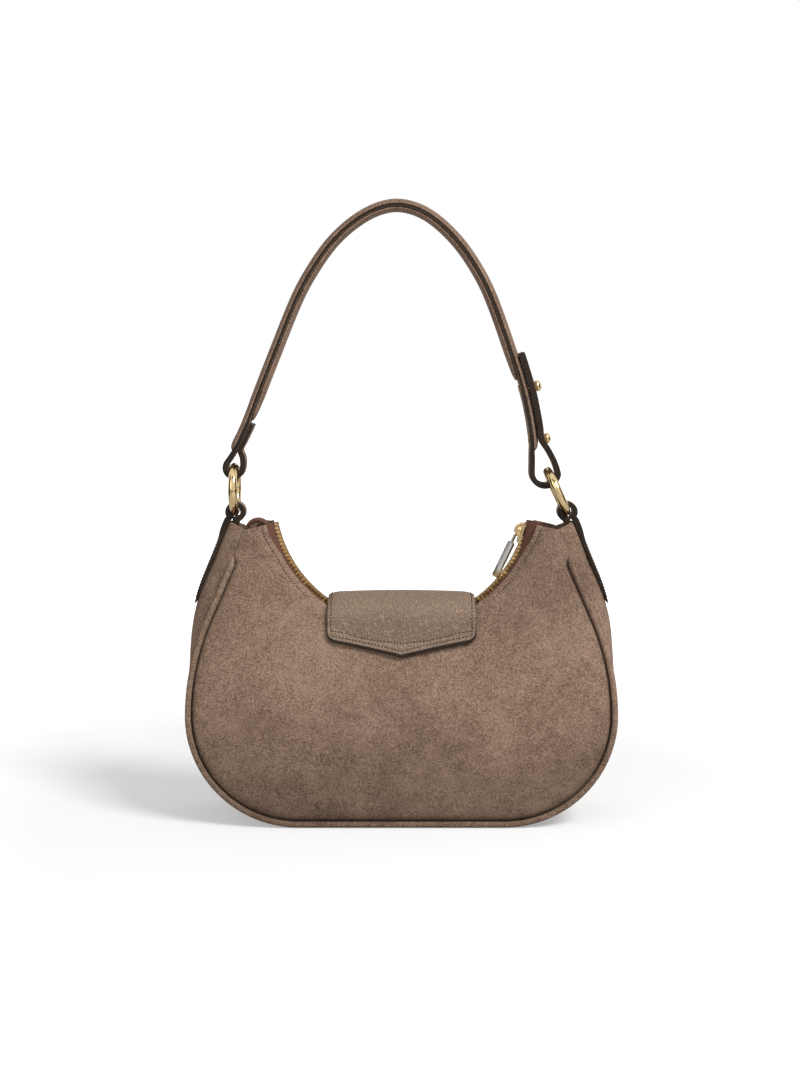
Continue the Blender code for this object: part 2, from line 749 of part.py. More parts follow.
def make_disc(name, radius, thickness, start, finish, collection, hinge=None):
    body = add_object(name, rod_mesh(name, radius, thickness, 20), finish, collection)
    body.matrix_world = snap_frame(start + 0.5 * thickness)
    if hinge:
        body.parent = hinge
        body.matrix_parent_inverse = hinge.matrix_world.inverted()
    return body


def make_snap(finish, collection, hinge):
    make_disc("snap_socket", SNAP_RADIUS, SNAP_SOCKET, SNAP_START, finish, collection)
    stud_start = SNAP_START + SNAP_SOCKET + GAP
    make_disc("snap_stud", SNAP_RADIUS, SNAP_STUD, stud_start, finish, collection, hinge)


def make_ring(name, centre, lean, finish, collection):
    bpy.ops.mesh.primitive_torus_add(major_radius=RING_RADIUS, minor_radius=RING_WIRE,
                                     major_segments=28, minor_segments=8, location=centre,
                                     rotation=(0.0, pi / 2.0 - lean, 0.0))
    return adopt(name, finish, collection)


def tab_route(side):
    """Middle line of a side tab: up outside the gusset, round the ring, down inside.

    Each entry is a point of the line at Y = 0, the outward direction there, the gusset's bulge
    that the tab lies on, how far it stays from the gusset's face, and a half width.
    """
    rim, normal = outline_point(side * HALF_ARC)
    along = Vector((-side * normal.y, side * normal.x))
    out = 1.5 * GAP + 0.5 * TAB_LEATHER
    back = -(SUEDE + LINING_LOOSENESS + LINING + 2.0 * GAP + 0.5 * TAB_LEATHER)
    route = []
    for share in (0.0, 0.12, 0.25, 0.4, 0.55, 0.7, 0.85, 1.0):
        arc = HALF_ARC - TAB_LENGTH * (1.0 - share)
        point, away = outline_point(side * arc)
        wide = mix(TAB_TIP_HALF_WIDTH, TAB_HALF_WIDTH, ease(3.0 * share))
        wide = mix(wide, TAB_LOOP_HALF_WIDTH, ease((arc - HALF_ARC + 1.6 * TAB_TAPER) / TAB_TAPER))
        route.append((point, away, bulge_at(point.y), out, wide))
    middle = rim + (bulge_at(rim.y) + 0.5 * (out + back)) * normal
    loop = middle + TAB_LOOP_RISE * along
    radius = TAB_LOOP_INNER + 0.5 * TAB_LEATHER
    for step in range(11):
        turn = radians(mix(-122.0, 122.0, step / 10.0))
        point = loop + radius * (cos(turn) * along - sin(turn) * normal)
        route.append((point, normal, 0.0, 0.0, TAB_LOOP_HALF_WIDTH))
    for share in (0.0, 0.33, 0.66, 1.0):
        point, away = outline_point(side * (HALF_ARC - TAB_RETURN * share))
        route.append((point, away, bulge_at(point.y), back, TAB_LOOP_HALF_WIDTH))
    return route, loop


def make_side_tab(name, side, finish, collection):
    route, loop = tab_route(side)
    steps = len(route) - 1

    def place(u, v):
        point, away, bulge, out, wide = route[round(u * steps)]
        return gusset_point(point, away, bulge, mix(-wide, wide, v), out)

    def outward(_):
        return 0.0, 1.0, 0.0

    shell(name, steps, 4, place, outward, TAB_LEATHER, finish, collection, offset=0.0)
    return loop


def smooth_route(knots, steps):
    """Points on a smooth curve through the knots."""
    ends = [2.0 * knots[0] - knots[1]] + list(knots) + [2.0 * knots[-1] - knots[-2]]
    points = []
    for index in range(1, len(ends) - 2):
        before, start, stop, after = ends[index - 1:index + 3]
        for step in range(steps):
            t = step / steps
            points.append(0.5 * (2.0 * start + (stop - before) * t
                                 + (2.0 * before - 5.0 * start + 4.0 * stop - after) * t * t
                                 + (3.0 * start - before - 3.0 * stop + after) * t ** 3))
    points.append(knots[-1].copy())
    return points


def normals_of(points):
    """Normals on the left of the way along the points: the strap's outer side."""
    sides = []
    for index in range(len(points)):
        before = points[max(0, index - 1)]
        after = points[min(len(points) - 1, index + 1)]
        along = (after - before).normalized()
        sides.append(Vector((-along.y, along.x)))
    return sides


def strap_main(left_wire_top, right_loop):
    """The strap's middle line, hung between the left ring's top and the right loop."""
    span = right_loop.x - left_wire_top.x
    knots = [Vector((left_wire_top.x + x * span, STRAP_FOOT_Z + z * STRAP_RISE))
             for x, z in STRAP_ROUTE_SHARES]
    return smooth_route(knots, ROUTE_STEPS)


def beside(main, sides, half, start, reach, offset):
    """A run that lies next to one half of the main one, low end first, up to its own tip."""
    rows = sorted((point.y - STRAP_FOOT_Z, index) for index, point in enumerate(main)
                  if half * point.x > 0.0)
    run = [main[index] + offset * sides[index] for rise, index in rows if start < rise < reach]
    rise_low, low = max(row for row in rows if row[0] < reach)
    rise_high, high = min(row for row in rows if row[0] >= reach)
    share = (reach - rise_low) / (rise_high - rise_low)
    run.append(main[low].lerp(main[high], share) + offset * sides[low].lerp(sides[high], share))
    return run


def strap_routes(left_wire_top, right_wire_top):
    """The strip's main run, and its whole length with both end loops."""
    left_centre = Vector((left_wire_top.x, left_wire_top.y - GAP))
    right_centre = Vector((right_wire_top.x - RIGHT_LOOP_SET_IN, right_wire_top.y - RIGHT_LOOP_DROP))
    main = strap_main(left_wire_top, right_centre)
    sides = normals_of(main)
    left_radius = LEFT_LOOP_INNER + 0.5 * STRAP_LEATHER
    right_radius = RIGHT_LOOP_INNER + 0.5 * STRAP_LEATHER
    inner = STRAP_LEATHER + GAP
    whole = beside(main, sides, -1.0, LEFT_RETURN_START, LEFT_RETURN_REACH, -inner)[::-1]
    for degrees in range(350, 165, -20):
        turn = radians(degrees)
        whole.append(left_centre + left_radius * Vector((cos(turn), sin(turn))))
    whole.extend(main)
    for degrees in range(200, 395, 20):
        turn = radians(degrees)
        whole.append(right_centre + right_radius * Vector((cos(turn), sin(turn))))
    outer = STRAP_LEATHER + OVERLAY_DOME + 3.0 * GAP
    whole.extend(beside(main, sides, 1.0, 2.0 * RIGHT_LOOP_INNER, RIGHT_RETURN_REACH, outer))
    return main, sides, whole


def make_ribbon(name, points, half_widths, thickness, finish, collection):
    steps = len(points) - 1

    def place(u, v):
        index = round(u * steps)
        wide = half_widths[index]
        return points[index].x, mix(-wide, wide, v), points[index].y

    def outward(_):
        return 0.0, 1.0, 0.0

    return shell(name, steps, 2, place, outward, thickness, finish, collection, offset=0.0)


def strap_width(point):
    loop = ease((STRAP_FOOT_Z + 0.16 * STRAP_RISE - point.y) / (0.10 * STRAP_RISE))
    return mix(STRAP_HALF_WIDTH, STRAP_LOOP_HALF_WIDTH, loop)


def make_domed_strip(name, main, sides, starts, facing, height, finish, collection):
    """A soft strip on one side of the strap, bowed across its width, from foot to foot."""
    kept = [index for index, point in enumerate(main)
            if point.y > STRAP_FOOT_Z + starts[0 if point.x < 0.0 else 1]]
    base = 0.5 * STRAP_LEATHER + GAP

    def place(u, v):
        index = round(mix(kept[0], kept[-1], u))
        y = mix(-OVERLAY_HALF_WIDTH, OVERLAY_HALF_WIDTH, v)
        bow = (height - OVERLAY_EDGE) * (1.0 - (y / OVERLAY_HALF_WIDTH) ** 2)
        point = main[index] + facing * (base + OVERLAY_EDGE + bow) * sides[index]
        return point.x, y, point.y

    def outward(centre):
        return facing * centre.x, 0.0, facing * (centre.z - STRAP_FOOT_Z)

    return shell(name, kept[-1] - kept[0], 4, place, outward, OVERLAY_EDGE, finish, collection)


def make_padding(name, main, sides, filler, collection):
    """The flat filler that lies under the outer strip."""
    kept = [index for index, point in enumerate(main) if point.y > STRAP_FOOT_Z + OVERLAY_END_RISE]
    base = 0.5 * STRAP_LEATHER + GAP

    def place(u, v):
        index = round(mix(kept[0] + 2, kept[-1] - 2, u))
        point = main[index] + base * sides[index]
        return point.x, mix(-PADDING_HALF_WIDTH, PADDING_HALF_WIDTH, v), point.y

    def inward(centre):
        return -centre.x, 0.0, STRAP_FOOT_Z - centre.z

    return shell(name, kept[-1] - kept[0] - 4, 1, place, inward, PADDING, filler, collection)


def turned(name, profile, finish, collection):
    """A round piece about Z from a profile of (radius, height), top to bottom."""
    mesh = bpy.data.meshes.new(name)
    rim = bmesh.new()
    verts = [rim.verts.new((radius, 0.0, height)) for radius, height in profile]
    for start, stop in zip(verts, verts[1:]):
        rim.edges.new((start, stop))
    rim.to_mesh(mesh)
    rim.free()
    body = add_object(name, mesh, finish, collection)
    screw = body.modifiers.new("turn", "SCREW")
    screw.axis = "Z"
    screw.steps = ROUND_STEPS
    screw.render_steps = ROUND_STEPS
    screw.use_merge_vertices = True
    screw.merge_threshold = 0.00001
    return body


def stud_frame(point, side):
    """Z runs out of the strap's outer side."""
    normal = Vector((side.x, 0.0, side.y))
    across = Vector((0.0, 1.0, 0.0))
    along = across.cross(normal)
    return Matrix((
        (along.x, across.x, normal.x, point.x),
        (along.y, across.y, normal.y, 0.0),
        (along.z, across.z, normal.z, point.y),
        (0.0, 0.0, 0.0, 1.0),
    ))


def make_stud(name, main, sides, rise, finish, collection, cutters, pierced):
    right = [index for index, point in enumerate(main) if point.x > 0.0]
    index = min(right, key=lambda number: abs(main[number].y - STRAP_FOOT_Z - rise))
    place = stud_frame(main[index], sides[index])
    face = 1.5 * STRAP_LEATHER + OVERLAY_DOME + 3.0 * GAP
    seat = face + GAP
    bottom = -0.5 * STRAP_LEATHER
    top = seat + STUD_HEAD_HEIGHT
    waist = seat + 0.12 * STUD_HEAD_HEIGHT
    middle = mix(seat, top, 0.40)
    profile = [(0.0, top)]
    for degrees in (25.0, 50.0, 72.0, 90.0):
        turn = radians(degrees)
        profile.append((STUD_HEAD_RADIUS * sin(turn), middle + (top - middle) * cos(turn)))
    profile += [
        (STUD_FOOT_RADIUS, waist), (STUD_FOOT_RADIUS, seat), (STUD_SHANK_RADIUS, seat),
        (STUD_SHANK_RADIUS, bottom), (STUD_BORE_RADIUS, bottom),
        (STUD_BORE_RADIUS, bottom + SCREW_PIN + GAP), (0.0, bottom + SCREW_PIN + GAP),
    ]
    stud = turned(name, profile, finish, collection)
    stud.matrix_world = place
    under = bottom - GAP
    screw = turned(name + "_screw", [
        (0.0, bottom + SCREW_PIN), (SCREW_PIN_RADIUS, bottom + SCREW_PIN), (SCREW_PIN_RADIUS, under),
        (SCREW_HEAD_RADIUS, under), (0.9 * SCREW_HEAD_RADIUS, under - SCREW_HEAD),
        (0.0, under - SCREW_HEAD),
    ], finish, collection)
    screw.matrix_world = place
    drill = add_object(name + "_hole", rod_mesh(name + "_hole", STUD_HOLE_RADIUS, 4.0 * face),
                       None, cutters)
    drill.matrix_world = place @ Matrix.Rotation(pi / 2.0, 4, "X")
    for body in pierced:
        cut(body, drill)
    return stud, screw


def hang(body, holder):
    """Parents a body to an empty without moving it."""
    body.parent = holder
    body.matrix_parent_inverse = holder.matrix_world.inverted()


def make_axis(name, point, collection):
    holder = bpy.data.objects.new(name, None)
    collection.objects.link(holder)
    holder.matrix_world = Matrix.Translation(point)
    return holder


def round_off(collection):
    """Smooth shading for the rounded pieces, with their sharp edges kept."""
    for body in collection.objects:
        if body.type == "MESH" and body.data.polygons:
            body.data.shade_smooth()
            body.data.set_sharp_from_angle(angle=radians(35.0))


def main():
    clear_scene()
    collection = new_collection("shoulder_bag")
    cutters = new_collection("cutters")

    for word, side in (("rear", -1.0), ("front", 1.0)):
        make_panel(word + "_panel", side, HIDE, collection)
        make_panel_lining(word + "_lining", side, CLOTH, collection)
        make_piping(word + "_piping", side, HIDE, collection)
        make_tape(word + "_zip_tape", side, WOVEN, collection)
    make_teeth("rear_zip_teeth", -1.0, 0.0, GOLD, collection)
    make_teeth("front_zip_teeth", 1.0, 0.5, GOLD, collection)
    make_gusset(HIDE, collection)
    make_gusset_lining(CLOTH, collection)
    make_base_board(collection)
    make_stops(GOLD, collection)

    zip_axis = make_axis("zip_axis", (0.0, 0.0, ZIP_CENTRE_Z), collection)
    slider, bail = make_slider(GOLD, collection, cutters)
    pull, pivot = make_pull(PALE, collection, cutters)
    bpy.context.view_layer.update()
    for body in (slider, bail, pull):
        hang(body, zip_axis)

    fold_y = -(FLAP_ARCH_HALF + flap_total())
    flap_axis = make_axis("flap_axis", (0.0, fold_y, FLAP_HINGE_Z), collection)
    bpy.context.view_layer.update()
    make_flap_tab(CALF, collection)
    make_flap_layer("flap_lining", 0.0, FLAP_LINING, CALF, collection, flap_axis)
    make_flap_layer("flap_cover", FLAP_LINING + GAP, FLAP_LEATHER, CALF, collection, flap_axis)
    make_snap(GOLD, collection, flap_axis)

    left_foot = make_side_tab("left_side_tab", -1.0, CALF, collection)
    right_foot = make_side_tab("right_side_tab", 1.0, CALF, collection)
    left_centre = left_foot + Vector((RING_SHIFT, RING_RADIUS))
    right_centre = (right_foot + Vector((RING_SHIFT, 0.0))
                    + RING_RADIUS * Vector((-sin(RING_LEAN), cos(RING_LEAN))))
    left_ring = make_ring("left_ring", (left_centre.x, 0.0, left_centre.y), 0.0, GOLD, collection)
    right_ring = make_ring("right_ring", (right_centre.x, 0.0, right_centre.y), RING_LEAN, GOLD, collection)

    left_wire_top = left_centre + Vector((0.0, RING_RADIUS))
    right_wire_top = right_centre + RING_RADIUS * Vector((-sin(RING_LEAN), cos(RING_LEAN)))
    main_run, sides, whole = strap_routes(left_wire_top, right_wire_top)
    widths = [strap_width(point) for point in whole]
    strap = make_ribbon("strap_base", whole, widths, STRAP_LEATHER, CALF, collection)
    overlay = make_domed_strip("strap_overlay", main_run, sides, (OVERLAY_END_RISE, OVERLAY_END_RISE),
                               1.0, OVERLAY_DOME, HIDE, collection)
    underlay = make_domed_strip("strap_underlay", main_run, sides,
                                (UNDERLAY_LEFT_RISE, UNDERLAY_RIGHT_RISE), -1.0, UNDERLAY_DOME,
                                HIDE, collection)
    padding = make_padding("strap_padding", main_run, sides, CLOTH, collection)
    strap_axis = make_axis("strap_axis", left_ring.location, collection)
    pierced = (strap, overlay, padding)
    studs = []
    for name, rise in (("upper_stud", UPPER_STUD_RISE), ("lower_stud", LOWER_STUD_RISE)):
        studs += make_stud(name, main_run, sides, rise, GOLD, collection, cutters, pierced)
    bpy.context.view_layer.update()
    for body in (strap, overlay, underlay, padding, *studs):
        hang(body, strap_axis)
    round_off(collection)
    bpy.context.view_layer.update()
    print("pull pivot", [round(value, 5) for value in pivot])
    print("flap fold", round(fold_y, 5), FLAP_HINGE_Z)
    print("left ring", [round(value, 5) for value in left_ring.location])
    print("right ring", [round(value, 5) for value in right_ring.location])


main()
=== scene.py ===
"""Looks of the crescent shoulder bag: suede body, leather flap, zip, rings and strap.

Lengths are in metres, in the part's own frame: the photographed back faces -Y, +Z is up.
The shape functions repeat the part's own, so that each dressed piece lies where its solid is.
"""

from math import atan2, cos, exp, hypot, pi, radians, sin, sqrt

import bmesh
import bpy
from bpy.props import FloatProperty, FloatVectorProperty, PointerProperty
from mathutils import Matrix, Vector, noise


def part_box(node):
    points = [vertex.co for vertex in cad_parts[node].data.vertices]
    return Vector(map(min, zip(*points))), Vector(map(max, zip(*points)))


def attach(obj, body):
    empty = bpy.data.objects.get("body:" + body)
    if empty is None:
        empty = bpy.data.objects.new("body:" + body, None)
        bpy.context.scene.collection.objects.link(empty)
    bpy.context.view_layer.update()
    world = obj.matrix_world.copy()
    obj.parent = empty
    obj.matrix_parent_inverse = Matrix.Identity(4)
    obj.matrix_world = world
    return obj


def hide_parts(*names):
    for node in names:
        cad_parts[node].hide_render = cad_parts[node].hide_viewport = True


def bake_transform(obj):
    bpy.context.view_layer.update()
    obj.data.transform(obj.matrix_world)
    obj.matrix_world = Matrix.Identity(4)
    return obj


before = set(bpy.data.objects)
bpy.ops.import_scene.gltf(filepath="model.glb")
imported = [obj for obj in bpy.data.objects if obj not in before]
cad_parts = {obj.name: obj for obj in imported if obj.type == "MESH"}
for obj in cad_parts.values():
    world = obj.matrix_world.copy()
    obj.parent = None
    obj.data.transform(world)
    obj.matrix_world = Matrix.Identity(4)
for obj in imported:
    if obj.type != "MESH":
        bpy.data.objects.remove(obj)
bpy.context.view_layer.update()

bl_info = {
    "name": "Shoulder bag looks",
    "version": (1, 0, 0),
    "blender": (4, 5, 0),
    "location": "View3D > Sidebar > Shoulder bag",
    "description": "Dresses the shoulder bag's solids in suede, leather, thread, woven tape and metal",
    "category": "Object",
}

# Clearance between pieces that touch
GAP = 0.0003
# Verts nearer than this are one
MERGE_DISTANCE = 0.00001

# The two seams of the bag, with the side of Y on which each one lies
SIDES = (("rear", -1.0), ("front", 1.0))

# Outline of the bag, seen from the back
BASE_HALF = 0.062
CORNER_RADIUS = 0.068
SIDE_RADIUS = 0.150
SIDE_TURN = radians(23.4)
EAR_LENGTH = 0.0565
MOUTH_RADIUS = 0.0835
MOUTH_CENTRE_Z = 0.201
MOUTH_RISE = 0.0022
MOUTH_RISE_RUN = 0.034

# Depth of the bag, from its middle plane to a face
BASE_HALF_DEPTH = 0.0295
EAR_HALF_DEPTH = 0.0133
MOUTH_HALF_DEPTH = 0.0128
DEPTH_FALL_START_Z = 0.060
CROWN_SHARE = 0.055

# Outward bulge of the gusset
GUSSET_BULGE = 0.0105
BULGE_START_Z = 0.075
BULGE_FULL_Z = 0.145

# Sheets and piping of the body
SUEDE = 0.0018
LINING = 0.0006
LINING_SET_IN = 0.0024
LINING_EDGE_INSET = 0.0044
LINING_LOOSENESS = 0.0008
LINING_EAR_MARGIN = 0.018
GUSSET_LINING_MARGIN = 0.002
PIPING_RADIUS = 0.0016
PIPING_END_MARGIN = 0.0155
PIPING_TIP_MARGIN = 0.0150
PIPING_TIP_RUN = 0.0065
PIPING_PROUD = 0.0008
PIPING_SWELL = 1.12
GUSSET_TUCK = 0.0011
SEAM_ROW = 0.045
EAR_BLEND_SHARE = 0.75

# Zip and its slider
ZIP_RADIUS = 0.0778
ZIP_CENTRE_Z = 0.1975
ZIP_LEFT = radians(-77.0)
ZIP_RIGHT = radians(73.4)
TEETH_PITCH = 0.00254
TOOTH_TIP = 0.0009
TOOTH_TIP_WIDTH = 0.00120
TOOTH_FOOT_WIDTH = 0.00172
TOOTH_FOOT_SHARE = 0.92
TOOTH_CHAMFER = 0.00022
BEAD_OUTER = 0.0029
CHAIN_THICKNESS = 0.0024
TAPE = 0.0006
TAPE_END = radians(79.6)
TAPE_HEM = 0.007
TAPE_BEND_DROP = 0.001
TAPE_DROP = 0.0015
TAIL_HALF_WIDTHS = (0.0062, 0.0048)
TAIL_SAG = 0.0008
TAIL_THICKNESS = 3.4 * TAPE
TOOTH_HEIGHT = 0.0031
SLIDER_HALF_WIDTH = 0.00475
SLIDER_ANGLE = radians(73.0)
BAIL_RADIUS = 0.0046
BAIL_HALF_WIDTH = 0.0023
BAIL_T = -0.0022
BAIL_H = 0.0019
PULL_PIVOT = (0.06994, 0.17591)
PULL_LENGTH = 0.0300
PULL_WIDTH = 0.0056
PULL_THICKNESS = 0.0015
PULL_NECK = 0.0062
PULL_NECK_START = 0.0012
PULL_NECK_WIDTH = 0.0014
PULL_RIM = 0.0008
PULL_HOLLOW = 0.0002
PULL_CORNER = 0.0011
PULL_TIP_H = 0.0032
PULL_TWIST = radians(-32.0)

# Curl of the zip tape's tail, from the left ear outward, as (x, z)
TAIL_ROUTE = (
    (-0.0770, 0.1792), (-0.0794, 0.1812), (-0.0824, 0.1836), (-0.0858, 0.1851),
    (-0.0893, 0.1850), (-0.0922, 0.1836), (-0.0942, 0.1815),
)

# Flap and its closure
FLAP_HALF_WIDTH = 0.0445
FLAP_LEATHER = 0.0013
FLAP_LINING = 0.0009
FLAP_ARCH_HALF = 0.0164
FLAP_HINGE_Z = 0.124
FLAP_CREST = 0.0140
FLAP_SIDE_DROP = 0.0012
FLAP_REAR_POINT_Z = 0.1037
FLAP_REAR_SIDE_Z = 0.1136
FLAP_FRONT_POINT_Z = 0.0790
FLAP_FRONT_SIDE_Z = 0.0889
FLAP_STANDOFF = 0.0036
FLAP_EASE = 0.015
FLAP_END_DROP = 0.0016
FLAP_END_START = 0.0375
FLAP_END_RUN = 0.0070
FLAP_SEWN_TOP = 0.1235
FLAP_SEWN_RUN = 0.005
# Shares of the flap's way at which its sewn tab and its arch end
TAB_SHARE = 0.20
ARCH_SHARE = 0.56
SNAP_Z = 0.095
SNAP_RADIUS = 0.0085
SNAP_SOCKET = 0.0010
SNAP_STUD = 0.0009
SNAP_START = 0.0004

# Rings and side tabs
RING_RADIUS = 0.01345
RING_SHOWN_WIRE = 0.00265
RING_LEAN = radians(25.0)
RING_SHIFT = -0.0006
TAB_LEATHER = 0.0020
TAB_LOOP_INNER = 0.0036
TAB_LOOP_RISE = 0.0067
TAB_LOOP_TURN = 158.0
TAB_LOOP_HALF_WIDTH = 0.0045
TAB_HALF_WIDTH = 0.0070
TAB_TIP_HALF_WIDTH = 0.0058
TAB_LENGTH = 0.0500
TAB_RETURN = 0.0170
TAB_TAPER = 0.0150
TAB_FLATNESS = 0.45
TAB_LOOP_LEATHER = 0.0032
TAB_TIP_LEATHER = 0.0011
TAB_SHOWN_LEATHER = 0.0014
TAB_SHOWN_LENGTH = 0.0540

# Strap
STRAP_LEATHER = 0.0024
STRAP_RUN_LEATHER = 0.0012
STRAP_LOOP_LEATHER = 0.0034
BARE_SHARE = 0.52
BARE_RUN = 0.004
STRAP_HALF_WIDTH = 0.00875
STRAP_LOOP_HALF_WIDTH = 0.0056
STRAP_FOOT_RISE = 0.03258
STRAP_RISE = 0.160
LEFT_LOOP_INNER = 0.0039
RIGHT_LOOP_INNER = 0.0066
RIGHT_LOOP_SET_IN = 0.0019
RIGHT_LOOP_DROP = 0.00076
LEFT_NECK = ((0.0040, 0.0108), (0.0052, 0.0068), (0.0056, 0.0025))
RIGHT_NECK = ((0.33, 0.0011), (0.66, 0.0009))
LEFT_RETURN_START = 0.0165
LEFT_RETURN_REACH = 0.0312
RIGHT_RETURN_REACH = 0.071
OVERLAY_HALF_WIDTH = 0.0083
OVERLAY_EDGE = 0.0010
OVERLAY_DOME = 0.0029
OVERLAY_END_RISE = 0.0135
UNDERLAY_DOME = 0.0023
UNDERLAY_LEFT_RISE = 0.0308
UNDERLAY_TAPER = 0.022
OVERLAY_TONGUE = 0.007
UNDERLAY_RIGHT_RISE = 0.0545

# Middle line of the strap's strip, left foot to right foot, as shares of span and rise
STRAP_ROUTE_SHARES = (
    (-0.0231, 0.042), (0.0014, 0.085), (0.0413, 0.175), (0.0886, 0.316), (0.1460, 0.484),
    (0.2056, 0.652), (0.2577, 0.763), (0.3279, 0.874), (0.4215, 0.962), (0.5198, 0.999),
    (0.6182, 0.966), (0.7097, 0.874), (0.7777, 0.763), (0.8250, 0.652), (0.8777, 0.484),
    (0.9240, 0.316), (0.9495, 0.175), (0.9574, 0.088), (0.9580, 0.004),
)

# Studs that hold the strap's right return
UPPER_STUD_RISE = 0.0485
LOWER_STUD_RISE = 0.0195
STUD_HEAD_RADIUS = 0.00345
STUD_HEAD_HEIGHT = 0.0044
STUD_FOOT_RADIUS = 0.0028
STUD_SHANK_RADIUS = 0.0014
SCREW_HEAD_RADIUS = 0.0032
SCREW_HEAD = 0.0008
SCREW_SINK = 0.0006
SCREW_STEP = 0.0006

# Camera, and the black cards as (name, place, width, height)
EYE = (-0.0009, -1.0, 0.2985)
EYE_TILT = radians(83.0)
LENS = 55.82
CARD_AIM = (0.0, 0.0, 0.2)
CARDS = (
    ("card_left", (-0.62, -0.80, 0.35), 0.20, 1.10),
    ("card_middle", (0.10, -1.25, 0.25), 0.12, 1.00),
    ("card_top", (0.0, -0.55, 1.05), 1.00, 0.22),
    ("card_beside_left", (-0.80, -0.08, 0.30), 0.56, 1.00),
    ("card_beside_right", (0.80, -0.08, 0.30), 0.56, 1.00),
    ("card_behind_left", (-0.28, 0.82, 0.35), 0.36, 1.00),
    ("card_behind_right", (0.28, 0.82, 0.35), 0.36, 1.00),
)

# Steps of the meshes
ALONG_STEPS = 176
CHEEK_STEPS = 52
GUSSET_STEPS = 26


def length_setting(title, description, value):
    return FloatProperty(name=title, description=description, default=value, unit="LENGTH")


def colour_setting(title, description, value):
    return FloatVectorProperty(name=title, description=description, default=value, size=3,
                               subtype="COLOR", min=0.0, max=1.0)


class BagSizes(bpy.types.PropertyGroup):
    """Sizes of the sewing and the softness of the sheets"""

    seam_roll: length_setting("Seam roll", "How far a panel's edge turns in at the piping", 0.0016)
    roll_width: length_setting(
        "Roll width", "Width of the strip that turns in at the piping", 0.0045)
    sag: length_setting("Sag", "Depth of the broad, soft hollows in the suede", 0.0011)
    ear_fold: length_setting(
        "Ear fold", "Depth of the soft folds that run down from the ears", 0.0004)
    groove: length_setting("Stitch groove", "How deep a stitch row pulls the suede in", 0.0005)
    groove_width: length_setting(
        "Groove width", "Half width of the groove along a stitch row", 0.0008)
    mouth_inset: length_setting(
        "Mouth row inset", "Distance of the stitch row from the mouth's edge", 0.0033)
    ear_inset: length_setting(
        "Ear row inset", "Distance of the stitch row from an ear's top edge", 0.0022)
    stitch_length: length_setting("Stitch length", "Length of one visible stitch", 0.0014)
    stitch_pitch: length_setting("Stitch pitch", "Distance from one stitch to the next", 0.0020)
    thread: length_setting("Thread thickness", "Thickness of the sewing thread", 0.00075)
    flap_inset: length_setting(
        "Flap row inset", "Distance of the flap's stitch rows from its edges", 0.0020)
    flap_corner: length_setting("Flap corner", "Radius of the flap's lower corners", 0.0040)
    flap_upper_row: length_setting(
        "Flap upper row", "Height of the sewn-on row above the tab's lower edge", 0.0060)


class BagColours(bpy.types.PropertyGroup):
    """Colours of the bag's finishes"""

    suede: colour_setting("Suede", "Colour of the nap's light tips", (0.335, 0.228, 0.168))
    suede_deep: colour_setting("Deep suede", "Colour between the nap's tips", (0.122, 0.074, 0.048))
    leather: colour_setting("Leather", "Colour of the grained leather", (0.246, 0.166, 0.114))
    # Painted shade: the colour of the grooves between the leather's pebbles, darker than the leather.
    leather_groove_shade: colour_setting(
        "Leather creases", "Colour in the creases of the leather", (0.200, 0.133, 0.090))
    edge_paint: colour_setting(
        "Edge paint", "Colour of the painted leather edges", (0.026, 0.017, 0.011))
    thread: colour_setting("Thread", "Colour of the sewing thread", (0.040, 0.026, 0.017))
    tonal_thread: colour_setting(
        "Tonal thread", "Colour of the thread in the strap's suede", (0.180, 0.118, 0.084))
    tape: colour_setting("Zip tape", "Colour of the woven zip tape", (0.120, 0.047, 0.025))
    lining: colour_setting("Lining", "Colour of the twill lining", (0.170, 0.122, 0.088))
    brass: colour_setting("Brass", "Colour of the zip's teeth and stops", (0.760, 0.520, 0.250))
    gold: colour_setting("Gold", "Colour of the rings, studs and slider", (0.800, 0.600, 0.320))
    pale_metal: colour_setting("Pale metal", "Colour of the zip's pull", (0.560, 0.550, 0.520))
    board: colour_setting("Board", "Colour of the stiff board in the base", (0.150, 0.112, 0.084))


# Shape functions: the part's own, and those by which the suede goes past its solid


def mix(low, high, share):
    return low + (high - low) * share


def ease(share):
    share = min(1.0, max(0.0, share))
    return share * share * (3.0 - 2.0 * share)


def outline_point(arc):
    """Point and outward normal of the bag's outline, at an arc length from the bottom's middle."""
    side = -1.0 if arc < 0.0 else 1.0
    rest = abs(arc)
    corner_arc = CORNER_RADIUS * pi / 2.0
    side_arc = SIDE_RADIUS * SIDE_TURN
    if rest <= BASE_HALF:
        return Vector((side * rest, 0.0)), Vector((0.0, -1.0))
    rest -= BASE_HALF
    if rest <= corner_arc:
        turn = rest / CORNER_RADIUS
        normal = Vector((sin(turn), -cos(turn)))
        point = Vector((BASE_HALF, CORNER_RADIUS)) + CORNER_RADIUS * normal
    else:
        rest -= corner_arc
        centre = Vector((BASE_HALF + CORNER_RADIUS - SIDE_RADIUS, CORNER_RADIUS))
        turn = min(rest / SIDE_RADIUS, SIDE_TURN)
        normal = Vector((cos(turn), sin(turn)))
        point = centre + SIDE_RADIUS * normal
        if rest > side_arc:
            point = point + (rest - side_arc) * Vector((-sin(SIDE_TURN), cos(SIDE_TURN)))
    return Vector((side * point.x, point.y)), Vector((side * normal.x, normal.y))


HALF_ARC = BASE_HALF + CORNER_RADIUS * pi / 2.0 + SIDE_RADIUS * SIDE_TURN + EAR_LENGTH
EAR_TOP_Z = outline_point(HALF_ARC)[0].y
STRAP_FOOT_Z = EAR_TOP_Z + STRAP_FOOT_RISE


def seam_depth(height):
    fall = ease((height - DEPTH_FALL_START_Z) / (EAR_TOP_Z - DEPTH_FALL_START_Z))
    return mix(BASE_HALF_DEPTH, EAR_HALF_DEPTH, fall)


